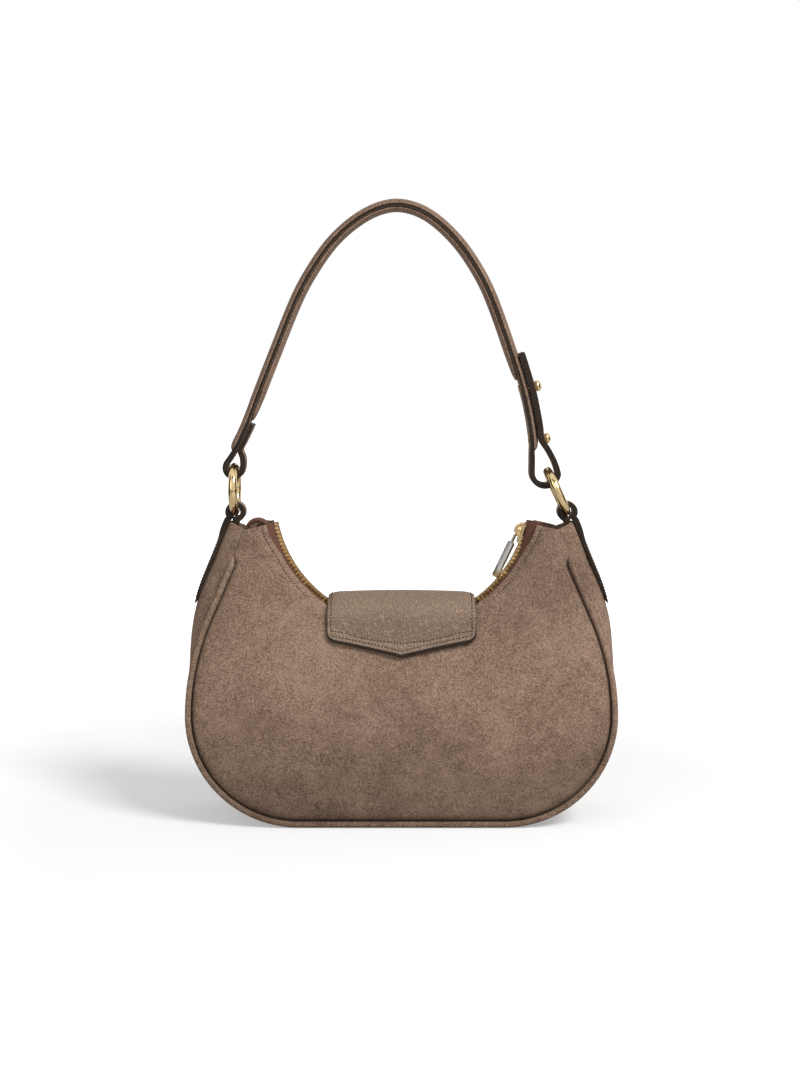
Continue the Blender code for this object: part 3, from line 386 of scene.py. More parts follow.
def panel_inset(arc):
    ear = ease(1.0 - (HALF_ARC - abs(arc)) / (EAR_BLEND_SHARE * PIPING_END_MARGIN))
    return mix(2.0 * PIPING_RADIUS + 2.0 * GAP, GAP, ear)


def panel_edge(arc, inset):
    point, normal = outline_point(arc)
    return point - inset * normal


def mouth_point(edge, radius):
    centre = Vector((0.0, MOUTH_CENTRE_Z))
    return centre + radius * (edge - centre).normalized()


def mouth_rise(arc):
    """How far the suede's edge stands up to the zip, past the solid's; none at the ears."""
    return MOUTH_RISE * ease((HALF_ARC - abs(arc)) / MOUTH_RISE_RUN)


def shown_inset(arc):
    """The suede's inset at its seam: it closes the seam above the piping's tip."""
    closed = ease((abs(arc) - HALF_ARC + PIPING_TIP_MARGIN + PIPING_TIP_RUN) / PIPING_TIP_RUN)
    return mix(panel_inset(arc), GAP, closed)


def seam_reach(arc):
    """How far a panel goes out past the solid's edge, to close the seam."""
    return 1.25 * (panel_inset(arc) - shown_inset(arc))


def crowned_depth(edge, mouth, share):
    crown = CROWN_SHARE * (edge - mouth).length * 4.0 * max(0.0, share) * (1.0 - share)
    return mix(seam_depth(edge.y), MOUTH_HALF_DEPTH, share * share) + crown


def arc_behind(x, z):
    """Arc of the panel's edge point that lies behind (x, z), seen from the mouth's centre."""
    wanted = atan2(abs(x), MOUTH_CENTRE_Z - z)
    low, high = 0.0, HALF_ARC
    for _ in range(24):
        middle = 0.5 * (low + high)
        edge = panel_edge(middle, panel_inset(middle))
        if atan2(edge.x, MOUTH_CENTRE_Z - edge.y) < wanted:
            low = middle
        else:
            high = middle
    return -middle if x < 0.0 else middle


def face_place(x, z):
    """Edge, mouth point and share of the way between them, for a point of a panel."""
    arc = arc_behind(x, z)
    edge = panel_edge(arc, panel_inset(arc))
    mouth = mouth_point(edge, MOUTH_RADIUS)
    span = (edge - mouth).length
    share = min(1.0, (MOUTH_RADIUS + span - hypot(x, z - MOUTH_CENTRE_Z)) / span)
    return arc, edge, mouth, share


def face_depth(x, z):
    """Distance of a panel's smooth outer face from the bag's middle plane."""
    _, edge, mouth, share = face_place(x, z)
    return crowned_depth(edge, mouth, share)


def bulge_at(height):
    return GUSSET_BULGE * ease((height - BULGE_START_Z) / (BULGE_FULL_Z - BULGE_START_Z))


def gusset_half(height):
    return seam_depth(height) - SUEDE - GAP


def gusset_point(point, away, bulge, y, set_out):
    """A point off the gusset's face: its foot is at Y = y across from an outline point."""
    half = gusset_half(min(point.y, EAR_TOP_Z))
    slope = 2.0 * bulge * y / half ** 2
    step = set_out / sqrt(1.0 + slope ** 2)
    point = point + (bulge * (1.0 - (y / half) ** 2) + step) * away
    return Vector((point.x, y + slope * step, point.y))


def zip_point(angle, radius, y):
    return Vector((radius * sin(angle), y, ZIP_CENTRE_Z - radius * cos(angle)))


def chevron(x, point_z, side_z):
    return mix(point_z, side_z, abs(x) / FLAP_HALF_WIDTH)


def tab_route(side):
    """Middle line of a side tab: up outside the gusset, round the ring, down inside."""
    rim, normal = outline_point(side * HALF_ARC)
    along = Vector((-side * normal.y, side * normal.x))
    out = 1.5 * GAP + 0.5 * TAB_LEATHER
    back = -(SUEDE + LINING_LOOSENESS + LINING + 2.0 * GAP + 0.5 * TAB_LEATHER)
    route = []
    for share in (0.0, 0.12, 0.25, 0.4, 0.55, 0.7, 0.85, 1.0):
        arc = HALF_ARC - TAB_SHOWN_LENGTH * (1.0 - share)
        point, away = outline_point(side * arc)
        wide = mix(TAB_TIP_HALF_WIDTH, TAB_HALF_WIDTH, ease(3.0 * share))
        wide = mix(wide, TAB_LOOP_HALF_WIDTH, ease((arc - HALF_ARC + 1.6 * TAB_TAPER) / TAB_TAPER))
        route.append((point, away, bulge_at(point.y), mix(0.75 * out, out, share), wide))
    middle = rim + (bulge_at(rim.y) + 0.5 * (out + back)) * normal
    loop = middle + TAB_LOOP_RISE * along
    radius = TAB_LOOP_INNER + 0.5 * TAB_LEATHER
    for step in range(11):
        turn = radians(mix(-TAB_LOOP_TURN, TAB_LOOP_TURN, step / 10.0))
        point = loop + radius * (cos(turn) * along - sin(turn) * normal)
        route.append((point, normal, 0.0, 0.0, TAB_LOOP_HALF_WIDTH))
    for share in (0.0, 0.33, 0.66, 1.0):
        point, away = outline_point(side * (HALF_ARC - TAB_RETURN * share))
        route.append((point, away, bulge_at(point.y), back, TAB_LOOP_HALF_WIDTH))
    return route, loop


def smooth_route(knots, steps):
    """Points on a smooth curve through the knots."""
    ends = [2.0 * knots[0] - knots[1]] + list(knots) + [2.0 * knots[-1] - knots[-2]]
    points = []
    for index in range(1, len(ends) - 2):
        before, start, stop, after = ends[index - 1:index + 3]
        for step in range(steps):
            t = step / steps
            points.append(0.5 * (2.0 * start + (stop - before) * t
                                 + (2.0 * before - 5.0 * start + 4.0 * stop - after) * t * t
                                 + (3.0 * start - before - 3.0 * stop + after) * t ** 3))
    points.append(knots[-1].copy())
    return points


def normals_of(points):
    """Normals on the left of the way along the points: the strap's outer side."""
    sides = []
    for index in range(len(points)):
        before = points[max(0, index - 1)]
        after = points[min(len(points) - 1, index + 1)]
        along = (after - before).normalized()
        sides.append(Vector((-along.y, along.x)))
    return sides


def beside(main, sides, half, start, reach, offset):
    """A run that lies next to one half of the main one, low end first, up to its own tip."""
    rows = sorted((point.y - STRAP_FOOT_Z, index) for index, point in enumerate(main)
                  if half * point.x > 0.0)
    run = [main[index] + offset * sides[index] for rise, index in rows if start < rise < reach]
    rise_low, low = max(row for row in rows if row[0] < reach)
    rise_high, high = min(row for row in rows if row[0] >= reach)
    share = (reach - rise_low) / (rise_high - rise_low)
    run.append(main[low].lerp(main[high], share) + offset * sides[low].lerp(sides[high], share))
    return run


def ring_centres():
    left_foot = tab_route(-1.0)[1]
    right_foot = tab_route(1.0)[1]
    shift = Vector((RING_SHIFT, 0.0))
    leaned = Vector((-sin(RING_LEAN), cos(RING_LEAN)))
    return left_foot + shift + Vector((0.0, RING_RADIUS)), right_foot + shift + RING_RADIUS * leaned


def strap_routes():
    """The strip's main run, and its whole length with both end loops."""
    left_ring, right_ring = ring_centres()
    left_top = left_ring + Vector((0.0, RING_RADIUS))
    right_top = right_ring + RING_RADIUS * Vector((-sin(RING_LEAN), cos(RING_LEAN)))
    left_centre = Vector((left_top.x, left_top.y - GAP))
    right_centre = Vector((right_top.x - RIGHT_LOOP_SET_IN, right_top.y - RIGHT_LOOP_DROP))
    span = right_centre.x - left_top.x
    knots = [Vector((left_top.x + x * span, STRAP_FOOT_Z + z * STRAP_RISE))
             for x, z in STRAP_ROUTE_SHARES]
    main = smooth_route(knots, 2)
    sides = normals_of(main)
    left_radius = LEFT_LOOP_INNER + 0.5 * STRAP_LEATHER
    right_radius = RIGHT_LOOP_INNER + 0.5 * STRAP_LEATHER
    inner = STRAP_LEATHER + GAP
    whole = beside(main, sides, -1.0, LEFT_RETURN_START, LEFT_RETURN_REACH, -inner)[::-1]
    for out, up in LEFT_NECK:
        whole.append(left_centre + Vector((out, up)))
    for degrees in range(350, 165, -20):
        turn = radians(degrees)
        whole.append(left_centre + left_radius * Vector((cos(turn), sin(turn))))
    whole.extend(main)
    for degrees in range(200, 361, 20):
        turn = radians(degrees)
        whole.append(right_centre + right_radius * Vector((cos(turn), sin(turn))))
    outer = STRAP_LEATHER + OVERLAY_DOME + 3.0 * GAP
    back = beside(main, sides, 1.0, 2.5 * RIGHT_LOOP_INNER, RIGHT_RETURN_REACH, outer)
    for share, bulge in RIGHT_NECK:
        whole.append(mix(right_centre + right_radius * Vector((1.0, 0.0)), back[0], share)
                     + Vector((bulge, 0.0)))
    whole.extend(back)
    return main, whole


def loop_share(height):
    """How far the strip has gone over from the strap's run to its loops, at a height."""
    return ease((STRAP_FOOT_Z + 0.16 * STRAP_RISE - height) / (0.10 * STRAP_RISE))


# The soft surfaces, with their rolls, grooves and hollows


def suede_depth(side, arc, edge, mouth, share):
    """Depth of a panel's suede: the crowned face less its roll, grooves, hollows and folds."""
    sizes = bpy.context.scene.bag_sizes
    span = (edge - mouth).length
    from_edge = share * span + seam_reach(arc)
    from_mouth = (1.0 - share) * span + mouth_rise(arc)
    from_end = HALF_ARC - abs(arc)
    roll = sizes.seam_roll * max(0.0, 1.0 - from_edge / sizes.roll_width) ** 2
    groove = exp(-((from_mouth - sizes.mouth_inset) / sizes.groove_width) ** 2)
    groove += exp(-((from_end - sizes.ear_inset) / sizes.groove_width) ** 2)
    point = edge.lerp(mouth, share)
    spot = Vector((point.x, 0.05 * side, point.y))
    calm = ease(from_edge / 0.020) * ease((from_mouth - 0.004) / 0.014)
    broad = 0.5 + 0.5 * noise.noise(26.0 * spot)
    small = 0.5 + 0.5 * noise.noise(80.0 * spot)
    ear = ease((point.y - 0.105) / 0.040)
    waves = 0.5 + 0.5 * sin(900.0 * from_edge + 7.0 * broad + 60.0 * point.y)
    sag = sizes.sag * (broad + 0.30 * small) + sizes.ear_fold * ear * waves * small
    return crowned_depth(edge, mouth, share) - roll - sizes.groove * groove - calm * sag


def panel_place(side, set_in=0.0):
    def place(u, v):
        arc = mix(-HALF_ARC, HALF_ARC, u)
        edge = panel_edge(arc, panel_inset(arc))
        mouth = mouth_point(edge, MOUTH_RADIUS)
        span = (edge - mouth).length
        share = mix(-seam_reach(arc) / span, 1.0 + mouth_rise(arc) / span, v)
        point = edge.lerp(mouth, share)
        return Vector((point.x, side * (suede_depth(side, arc, edge, mouth, share) - set_in), point.y))

    return place


def face_at(side, x, z):
    """Depth of the suede at a point of a panel, with its hollows."""
    arc, edge, mouth, share = face_place(x, z)
    return suede_depth(side, arc, edge, mouth, share)


def gusset_set_in(point, v):
    """How far the gusset's suede lies inside its smooth face: rolled edges, soft wrinkles."""
    sizes = bpy.context.scene.bag_sizes
    across = abs(2.0 * v - 1.0)
    spot = Vector((point.x, 0.04 * v, point.y))
    wrinkle = 0.5 + 0.5 * noise.noise(Vector((60.0 * spot.x, 25.0 * v, 90.0 * spot.z)))
    return sizes.seam_roll * across ** 14 + 0.4 * sizes.sag * wrinkle * (1.0 - across ** 4)


def narrow_ends(v):
    """Moves the rows of the gusset's grid, so that the first and the last one are narrow."""
    row = 1.0 / GUSSET_STEPS
    near = min(v, 1.0 - v)
    near = near * SEAM_ROW / row if near < row else mix(SEAM_ROW, 0.5, (near - row) / (0.5 - row))
    return near if v < 0.5 else 1.0 - near


def gusset_place(u, v):
    v = narrow_ends(v)
    point, away = outline_point(mix(-HALF_ARC, HALF_ARC, u))
    half = gusset_half(point.y) + GUSSET_TUCK
    return gusset_point(point, away, bulge_at(point.y), mix(-half, half, v), -gusset_set_in(point, v))


def flap_total():
    return FLAP_LEATHER + GAP + FLAP_LINING


def flap_inner(x, share):
    """Inner side of the whole flap: the sewn tab, the arch over the mouth, the front leg."""
    crest = FLAP_CREST - FLAP_SIDE_DROP * (x / FLAP_HALF_WIDTH) ** 2
    crest -= FLAP_END_DROP * max(0.0, (abs(x) - FLAP_END_START) / FLAP_END_RUN) ** 2
    if share < TAB_SHARE:
        low = chevron(x, FLAP_REAR_POINT_Z, FLAP_REAR_SIDE_Z)
        z = mix(low, FLAP_HINGE_Z, share / TAB_SHARE)
        return -max(face_depth(x, z) + GAP, FLAP_ARCH_HALF), z
    if share < ARCH_SHARE:
        turn = pi * (share - TAB_SHARE) / (ARCH_SHARE - TAB_SHARE)
        return -FLAP_ARCH_HALF * cos(turn), FLAP_HINGE_Z + crest * sin(turn)
    low = chevron(x, FLAP_FRONT_POINT_Z, FLAP_FRONT_SIDE_Z)
    z = mix(FLAP_HINGE_Z, low, (share - ARCH_SHARE) / (1.0 - ARCH_SHARE))
    lift = max(0.0, face_depth(x, z) + FLAP_STANDOFF - FLAP_ARCH_HALF)
    return FLAP_ARCH_HALF + lift * ease((FLAP_HINGE_Z - z) / FLAP_EASE), z


def flap_half(x_share, share):
    """X of a point of the flap, with rounded corners at both ends."""
    corner = bpy.context.scene.bag_sizes.flap_corner
    rear = share / TAB_SHARE * (FLAP_HINGE_Z - FLAP_REAR_SIDE_Z)
    front = (1.0 - share) / (1.0 - ARCH_SHARE) * (FLAP_HINGE_Z - FLAP_FRONT_SIDE_Z)
    near = min(rear, front, corner)
    cut = corner - sqrt(max(0.0, corner ** 2 - (corner - near) ** 2))
    return x_share * (FLAP_HALF_WIDTH - cut)


def flap_face(set_out):
    """A layer of the flap at a distance outside its inner side."""
    step = 0.008

    def place(u, v):
        x = flap_half(2.0 * u - 1.0, v)
        y, z = flap_inner(x, v)
        y_low, z_low = flap_inner(x, max(0.0, v - step))
        y_high, z_high = flap_inner(x, min(1.0, v + step))
        along = Vector((y_high - y_low, z_high - z_low)).normalized()
        return Vector((x, y - set_out * along.y, z + set_out * along.x))

    return place


# Mesh helpers


def shown(name, mesh, finishes):
    body = bpy.data.objects.new(name, mesh)
    bpy.context.scene.collection.objects.link(body)
    for word in finishes:
        mesh.materials.append(finish(word))
    mesh.shade_smooth()
    return body


def close_up(bulk):
    """Merges the verts that meet and turns all faces outward."""
    bmesh.ops.remove_doubles(bulk, verts=bulk.verts, dist=MERGE_DISTANCE)
    bmesh.ops.recalc_face_normals(bulk, faces=bulk.faces)


def spin_round(bulk, geometry, steps):
    """A full turn about Z."""
    bmesh.ops.spin(bulk, geom=geometry, axis=(0.0, 0.0, 1.0), cent=(0.0, 0.0, 0.0),
                   angle=2.0 * pi, steps=steps, use_merge=True)


def edges_of(verts):
    return list({edge for vert in verts for edge in vert.link_edges})


def bevel_edges(bulk, edges, width, segments):
    bmesh.ops.bevel(bulk, geom=edges, offset=width, offset_type="OFFSET", segments=segments,
                    profile=0.5, affect="EDGES", material=-1)


def from_bulk(name, bulk, finishes):
    mesh = bpy.data.meshes.new(name)
    bulk.to_mesh(mesh)
    bulk.free()
    return shown(name, mesh, finishes)


def laid_sheet(name, steps_u, steps_v, place, outward, span, finishes):
    """A sheet put in space by place(u, v), faces to the outward side, UV map in metres."""
    sheet = bmesh.new()
    layer = sheet.loops.layers.uv.new("weave")
    bmesh.ops.create_grid(sheet, x_segments=steps_u, y_segments=steps_v, size=0.5, calc_uvs=True)
    for face in sheet.faces:
        for loop in face.loops:
            corner = loop.vert.co
            loop[layer].uv = ((corner.x + 0.5) * span[0], (corner.y + 0.5) * span[1])
    for vert in sheet.verts:
        vert.co = place(vert.co.x + 0.5, vert.co.y + 0.5)
    sheet.normal_update()
    facing = sum(face.normal.dot(Vector(outward(face.calc_center_median()))) for face in sheet.faces)
    if facing < 0.0:
        bmesh.ops.reverse_faces(sheet, faces=sheet.faces)
    return from_bulk(name, sheet, finishes)


def give_wall(body, thickness, offset=-1.0, rim=0, rounding=0.0005, steps=3):
    """Gives a sheet its thickness, the rim its own finish and the edges a rounding."""
    wall = body.modifiers.new("wall", "SOLIDIFY")
    wall.thickness = thickness
    wall.offset = offset
    wall.use_even_offset = True
    wall.material_offset_rim = rim
    edge = body.modifiers.new("edge", "BEVEL")
    edge.width = rounding
    edge.segments = steps
    edge.limit_method = "ANGLE"
    edge.angle_limit = radians(50.0)
    return wall


def apply_modifiers(body):
    bpy.context.view_layer.update()
    shape = body.evaluated_get(bpy.context.evaluated_depsgraph_get())
    mesh = bpy.data.meshes.new_from_object(shape)
    body.modifiers.clear()
    body.data = mesh


def weigh(body, wall, share_of):
    """Gives each vert its own share of the wall's thickness."""
    group = body.vertex_groups.new(name="thick")
    for vert in body.data.vertices:
        group.add([vert.index], share_of(vert.co), "REPLACE")
    wall.vertex_group = group.name


def settle(body, rides_on, slot, *nodes):
    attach(body, rides_on)
    if nodes:
        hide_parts(*nodes)
    return body


def cord_around(name, knots, radii, steps_round, finishes):
    """A round cord along its knots; a radius of zero closes an end."""
    steps = len(knots) - 1

    def place(u, v):
        index = round(u * steps)
        along = (knots[min(index + 1, steps)] - knots[max(index - 1, 0)]).normalized()
        across = along.cross(Vector((0.0, 1.0, 0.0))).normalized()
        third = across.cross(along)
        turn = 2.0 * pi * v
        return knots[index] + radii[index] * (cos(turn) * across + sin(turn) * third)

    bulk = bmesh.new()
    bmesh.ops.create_grid(bulk, x_segments=steps, y_segments=steps_round, size=0.5)
    for vert in bulk.verts:
        vert.co = place(vert.co.x + 0.5, vert.co.y + 0.5)
    close_up(bulk)
    return from_bulk(name, bulk, finishes)


def turned(name, profile, steps, place, finishes):
    """A round piece about its own Z from a profile of (radius, height), put in its place."""
    bulk = bmesh.new()
    verts = [bulk.verts.new((radius, 0.0, height)) for radius, height in profile]
    edges = [bulk.edges.new(pair) for pair in zip(verts, verts[1:])]
    spin_round(bulk, verts + edges, steps)
    close_up(bulk)
    bmesh.ops.transform(bulk, matrix=place, verts=bulk.verts)
    body = from_bulk(name, bulk, finishes)
    body.data.set_sharp_from_angle(angle=radians(40.0))
    return body


def axes(side, up, out, origin):
    """A place from its three directions and its origin."""
    return Matrix((
        (side[0], up[0], out[0], origin[0]),
        (side[1], up[1], out[1], origin[1]),
        (side[2], up[2], out[2], origin[2]),
        (0.0, 0.0, 0.0, 1.0),
    ))


def track_on(place, spots, outward):
    """Points and normals of a surface at a list of (u, v) spots."""
    track = []
    small = 0.002
    for u, v in spots:
        point = place(u, v)
        down = place(min(1.0, u + small), v) - place(max(0.0, u - small), v)
        across = place(u, min(1.0, v + small)) - place(u, max(0.0, v - small))
        normal = down.cross(across).normalized()
        if normal.dot(Vector(outward(point))) < 0.0:
            normal = -normal
        track.append((point, normal))
    return track


def sew(bulk, track):
    """Adds one stitch after another along a track of points and normals."""
    sizes = bpy.context.scene.bag_sizes
    gone = 0.0
    wanted = 0.5 * sizes.stitch_pitch
    for (start, normal), (stop, _) in zip(track, track[1:]):
        length = (stop - start).length
        while wanted <= gone + length:
            along = (stop - start).normalized()
            across = normal.cross(along).normalized()
            out = along.cross(across)
            centre = start.lerp(stop, (wanted - gone) / length) + 0.15 * sizes.thread * out
            shape = axes(sizes.stitch_length * along, sizes.thread * across, sizes.thread * out, centre)
            bmesh.ops.create_uvsphere(bulk, u_segments=6, v_segments=4, radius=0.5, matrix=shape)
            wanted += sizes.stitch_pitch
        gone += length


# Finishes


def feed(tree, made, inputs):
    """Sets or links the inputs of a shader node."""
    for word, value in inputs.items():
        if isinstance(value, bpy.types.NodeSocket):
            tree.links.new(value, made.inputs[word])
        else:
            made.inputs[word].default_value = value


def node(tree, kind, inputs=None, **settings):
    """A new shader node with its settings and inputs."""
    made = tree.nodes.new(kind)
    for word, value in settings.items():
        setattr(made, word, value)
    feed(tree, made, inputs or {})
    return made


def new_finish(name, roughness, metallic=0.0):
    material = bpy.data.materials.new(name)
    material.use_nodes = True
    tree = material.node_tree
    shader = tree.nodes["Principled BSDF"]
    feed(tree, shader, {"Roughness": roughness, "Metallic": metallic})
    place = node(tree, "ShaderNodeTexCoord").outputs["Object"]
    return material, tree, shader, place


def specks(tree, place, scale, detail=2.0, rough=0.5):
    return node(tree, "ShaderNodeTexNoise", {
        "Vector": place, "Scale": scale, "Detail": detail, "Roughness": rough}).outputs["Fac"]


def spread(tree, value, low, high, to_low, to_high):
    return node(tree, "ShaderNodeMapRange", {
        "Value": value, "From Min": low, "From Max": high, "To Min": to_low, "To Max": to_high,
    }).outputs["Result"]


def apart(tree, place, point):
    return node(tree, "ShaderNodeVectorMath", {0: place, 1: point},
                operation="DISTANCE").outputs["Value"]


def patch(tree, place, centre, radius, strength):
    """A soft round patch painted lighter or darker than the suede around it."""
    away = apart(tree, place, centre)
    return node(tree, "ShaderNodeMapRange", {
        "Value": away, "From Min": 0.25 * radius, "From Max": radius, "To Min": strength, "To Max": 1.0,
    }, interpolation_type="SMOOTHSTEP").outputs["Result"]


def reckoned(tree, way, first, second, clamp=False):
    """The outcome of one step of arithmetic on two values."""
    return node(tree, "ShaderNodeMath", {0: first, 1: second}, operation=way,
                use_clamp=clamp).outputs[0]


def times(tree, first, second):
    return reckoned(tree, "MULTIPLY", first, second)


def blended(tree, share, first, second, way="MIX"):
    return node(tree, "ShaderNodeMix", {0: share, 6: first, 7: second}, data_type="RGBA",
                blend_type=way).outputs[2]


def shaded(tree, colour, value):
    return node(tree, "ShaderNodeHueSaturation", {"Color": colour, "Value": value}).outputs["Color"]


def bumped(tree, shader, heights):
    """Chains bumps of (height, strength, distance) into the shader's normal."""
    normal = None
    for height, strength, distance in heights:
        links = {"Height": height, "Strength": strength, "Distance": distance}
        if normal:
            links["Normal"] = normal
        normal = node(tree, "ShaderNodeBump", links).outputs["Normal"]
    tree.links.new(normal, shader.inputs["Normal"])


def full(colour):
    return (*colour, 1.0)


def suede_finish(name):
    """Brushed suede: light tips over a deeper tone, in broad marks; painted shade towards the bottom,
    painted light on the right side and a darker patch on the right ear; much darker in a seam, as
    painted shade.
    """
    colours = bpy.context.scene.bag_colours
    material, tree, shader, place = new_finish(name, 0.92)
    marks = spread(tree, specks(tree, place, 30.0, 4.0, 0.60), 0.36, 0.64, -0.13, 0.13)
    clouds = spread(tree, specks(tree, place, 150.0, 4.0, 0.65), 0.30, 0.70, -0.17, 0.17)
    nap = specks(tree, place, 1050.0, 2.0, 0.70)
    tips = spread(tree, nap, 0.34, 0.68, 0.02, 1.02)
    tips = reckoned(tree, "ADD", reckoned(tree, "ADD", tips, marks), clouds, clamp=True)
    # Painted shade: the suede's colour grows darker towards the bottom, by height with a noisy drift.
    height = node(tree, "ShaderNodeSeparateXYZ", {"Vector": place}).outputs["Z"]
    drift = times(tree, specks(tree, place, 16.0, 3.0, 0.6), 0.060)
    level = reckoned(tree, "ADD", height, drift)
    wear_and_low_shade = spread(tree, level, 0.030, 0.112, 0.66, 1.02)
    # A darker patch on the right ear.
    right_ear = patch(tree, place, (0.088, -0.014, 0.150), 0.050, 0.84)
    # Painted light: the right side, which the key lamp lights most, is painted lighter.
    painted_light_right = patch(tree, place, (0.070, -0.028, 0.075), 0.060, 1.16)
    tone = blended(tree, tips, full(colours.suede_deep), full(colours.suede))
    # Lightness of the tone: painted shade low down, painted light on the right side, and the darker
    # right-ear patch.
    soft = times(tree, times(tree, wear_and_low_shade, right_ear), painted_light_right)
    # Painted shade: the gusset's narrow rows beside the piping are painted much darker, as the shade in
    # the seam's groove.
    if name == "seam_suede":
        soft = times(tree, soft, 0.40)
    feed(tree, shader, {
        "Base Color": shaded(tree, tone, soft), "Sheen Weight": 0.07, "Sheen Roughness": 0.45,
        "Sheen Tint": (0.95, 0.80, 0.70, 1.0), "Specular IOR Level": 0.10})
    bumped(tree, shader, [
        (specks(tree, place, 150.0, 4.0, 0.6), 0.40, 0.0011), (nap, 0.60, 0.00030)])
    return material


def leather_finish(name):
    """Pebbled leather: small cells, stretched creases and a soft gloss that varies; painted shade in the
    grooves between the cells and painted highlights along the creases' ridges.
    """
    colours = bpy.context.scene.bag_colours
    material, tree, shader, place = new_finish(name, 0.50)
    warp = node(tree, "ShaderNodeTexNoise", {"Vector": place, "Scale": 420.0, "Detail": 2.0})
    moved = node(tree, "ShaderNodeVectorMath", {0: warp.outputs["Color"], 1: (0.0011, 0.0011, 0.0011)},
                 operation="MULTIPLY").outputs[0]
    loose = node(tree, "ShaderNodeVectorMath", {0: place, 1: moved}, operation="ADD").outputs[0]
    cells = node(tree, "ShaderNodeTexVoronoi", {"Vector": loose, "Scale": 820.0},
                 feature="DISTANCE_TO_EDGE").outputs["Distance"]
    long = node(tree, "ShaderNodeMapping", {
        "Vector": loose, "Scale": (370.0, 370.0, 190.0), "Rotation": (0.0, 0.16, 0.0)})
    creases = specks(tree, long.outputs["Vector"], 1.0, 2.0, 0.5)
    off = reckoned(tree, "ABSOLUTE", reckoned(tree, "SUBTRACT", creases, 0.5), 0.0)
    ridges = spread(tree, off, 0.0, 0.065, 1.0, 0.0)
    broad = spread(tree, specks(tree, place, 45.0, 3.0, 0.5), 0.35, 0.65, 0.93, 1.07)
    pebble = spread(tree, cells, 0.0, 0.16, 0.0, 1.0)
    # Painted shade: the grooves at the pebbles' edges, which lie low in the bump, take the darker
    # colour.
    tone = blended(tree, pebble, full(colours.leather_groove_shade), full(colours.leather))
    # Painted highlights: the creases' thin ridges are painted up to 1.38 times lighter, and the rest a
    # little darker.
    light = times(tree, broad, spread(tree, ridges, 0.0, 1.0, 0.86, 1.38))
    feed(tree, shader, {
        "Base Color": shaded(tree, tone, light), "Specular IOR Level": 0.42,
        "Roughness": spread(tree, ridges, 0.0, 1.0, 0.50, 0.36)})
    bumped(tree, shader, [(ridges, 0.80, 0.00060), (pebble, 0.4, 0.00015)])
    return material


def speckled(name, colour, roughness, speckle, light, bump):
    """A finish of one colour whose lightness and height follow the same fine specks."""
    material, tree, shader, place = new_finish(name, roughness)
    uneven = specks(tree, place, *speckle)
    tone = shaded(tree, full(colour), spread(tree, uneven, 0.3, 0.7, *light))
    feed(tree, shader, {"Base Color": tone})
    bumped(tree, shader, [(uneven, *bump)])
    return material, tree, shader, uneven


def edge_finish(name):
    """Edge paint: a dark, waxed line with small unevenness."""
    material, tree, shader, uneven = speckled(
        name, bpy.context.scene.bag_colours.edge_paint, 0.42, (700.0, 3.0, 0.6), (0.60, 1.25),
        (0.30, 0.00025))
    feed(tree, shader, {
        "Roughness": spread(tree, uneven, 0.3, 0.7, 0.40, 0.62), "Specular IOR Level": 0.17})
    return material


def thread_finish(name):
    """Waxed thread with a fine twist; the strap's is in the suede's own tone."""
    colours = bpy.context.scene.bag_colours
    colour = colours.tonal_thread if name == "tonal_thread" else colours.thread
    return speckled(name, colour, 0.62, (2600.0, 2.0, 0.6), (0.7, 1.35), (0.5, 0.0001))[0]


def woven(tree, threads):
    """Height of a plain weave on the piece's own UV map."""
    uv = node(tree, "ShaderNodeTexCoord").outputs["UV"]
    sides = []
    for direction in ("X", "Y"):
        sides.append(node(tree, "ShaderNodeTexWave", {
            "Vector": uv, "Scale": threads, "Distortion": 0.6, "Detail": 1.0},
            wave_type="BANDS", bands_direction=direction).outputs["Fac"])
    return reckoned(tree, "MAXIMUM", *sides)


def cloth_finish(name, colour, threads, roughness):
    material, tree, shader, place = new_finish(name, roughness)
    weave = woven(tree, threads)
    fuzz = spread(tree, specks(tree, place, 900.0, 2.0, 0.6), 0.3, 0.7, 0.80, 1.20)
    light = times(tree, spread(tree, weave, 0.2, 1.0, 0.62, 1.12), fuzz)
    feed(tree, shader, {"Base Color": shaded(tree, full(colour), light), "Sheen Weight": 0.03})
    bumped(tree, shader, [(weave, 0.5, 0.00018)])
    return material


def tape_finish(name):
    """Woven zip tape with a ribbed weave."""
    return cloth_finish(name, bpy.context.scene.bag_colours.tape, 420.0, 0.85)


def lining_finish(name):
    """Twill lining with fine threads."""
    return cloth_finish(name, bpy.context.scene.bag_colours.lining, 560.0, 0.90)


def metal_finish(name, colour, roughness, wear):
    """Plated metal: rubbed patches, faint brushing and tiny pits."""
    material, tree, shader, place = new_finish(name, roughness, 1.0)
    wear_and_low_shade = specks(tree, place, 220.0, 4.0, 0.6)
    tone = shaded(tree, full(colour), spread(tree, wear_and_low_shade, 0.3, 0.7, 1.0 - wear, 1.0 + 0.4 * wear))
    worn = spread(tree, wear_and_low_shade, 0.3, 0.7, 0.7 * roughness, 1.5 * roughness)
    feed(tree, shader, {"Base Color": tone, "Roughness": worn})
    bumped(tree, shader, [(specks(tree, place, 1600.0, 2.0, 0.5), 0.08, 0.0001)])
    return material


def gold_finish(name):
    """Polished gold plating on rings, studs and slider."""
    return metal_finish(name, bpy.context.scene.bag_colours.gold, 0.10, 0.15)


def brass_finish(name):
    """Tumbled brass teeth, duller between."""
    return metal_finish(name, bpy.context.scene.bag_colours.brass, 0.22, 0.40)


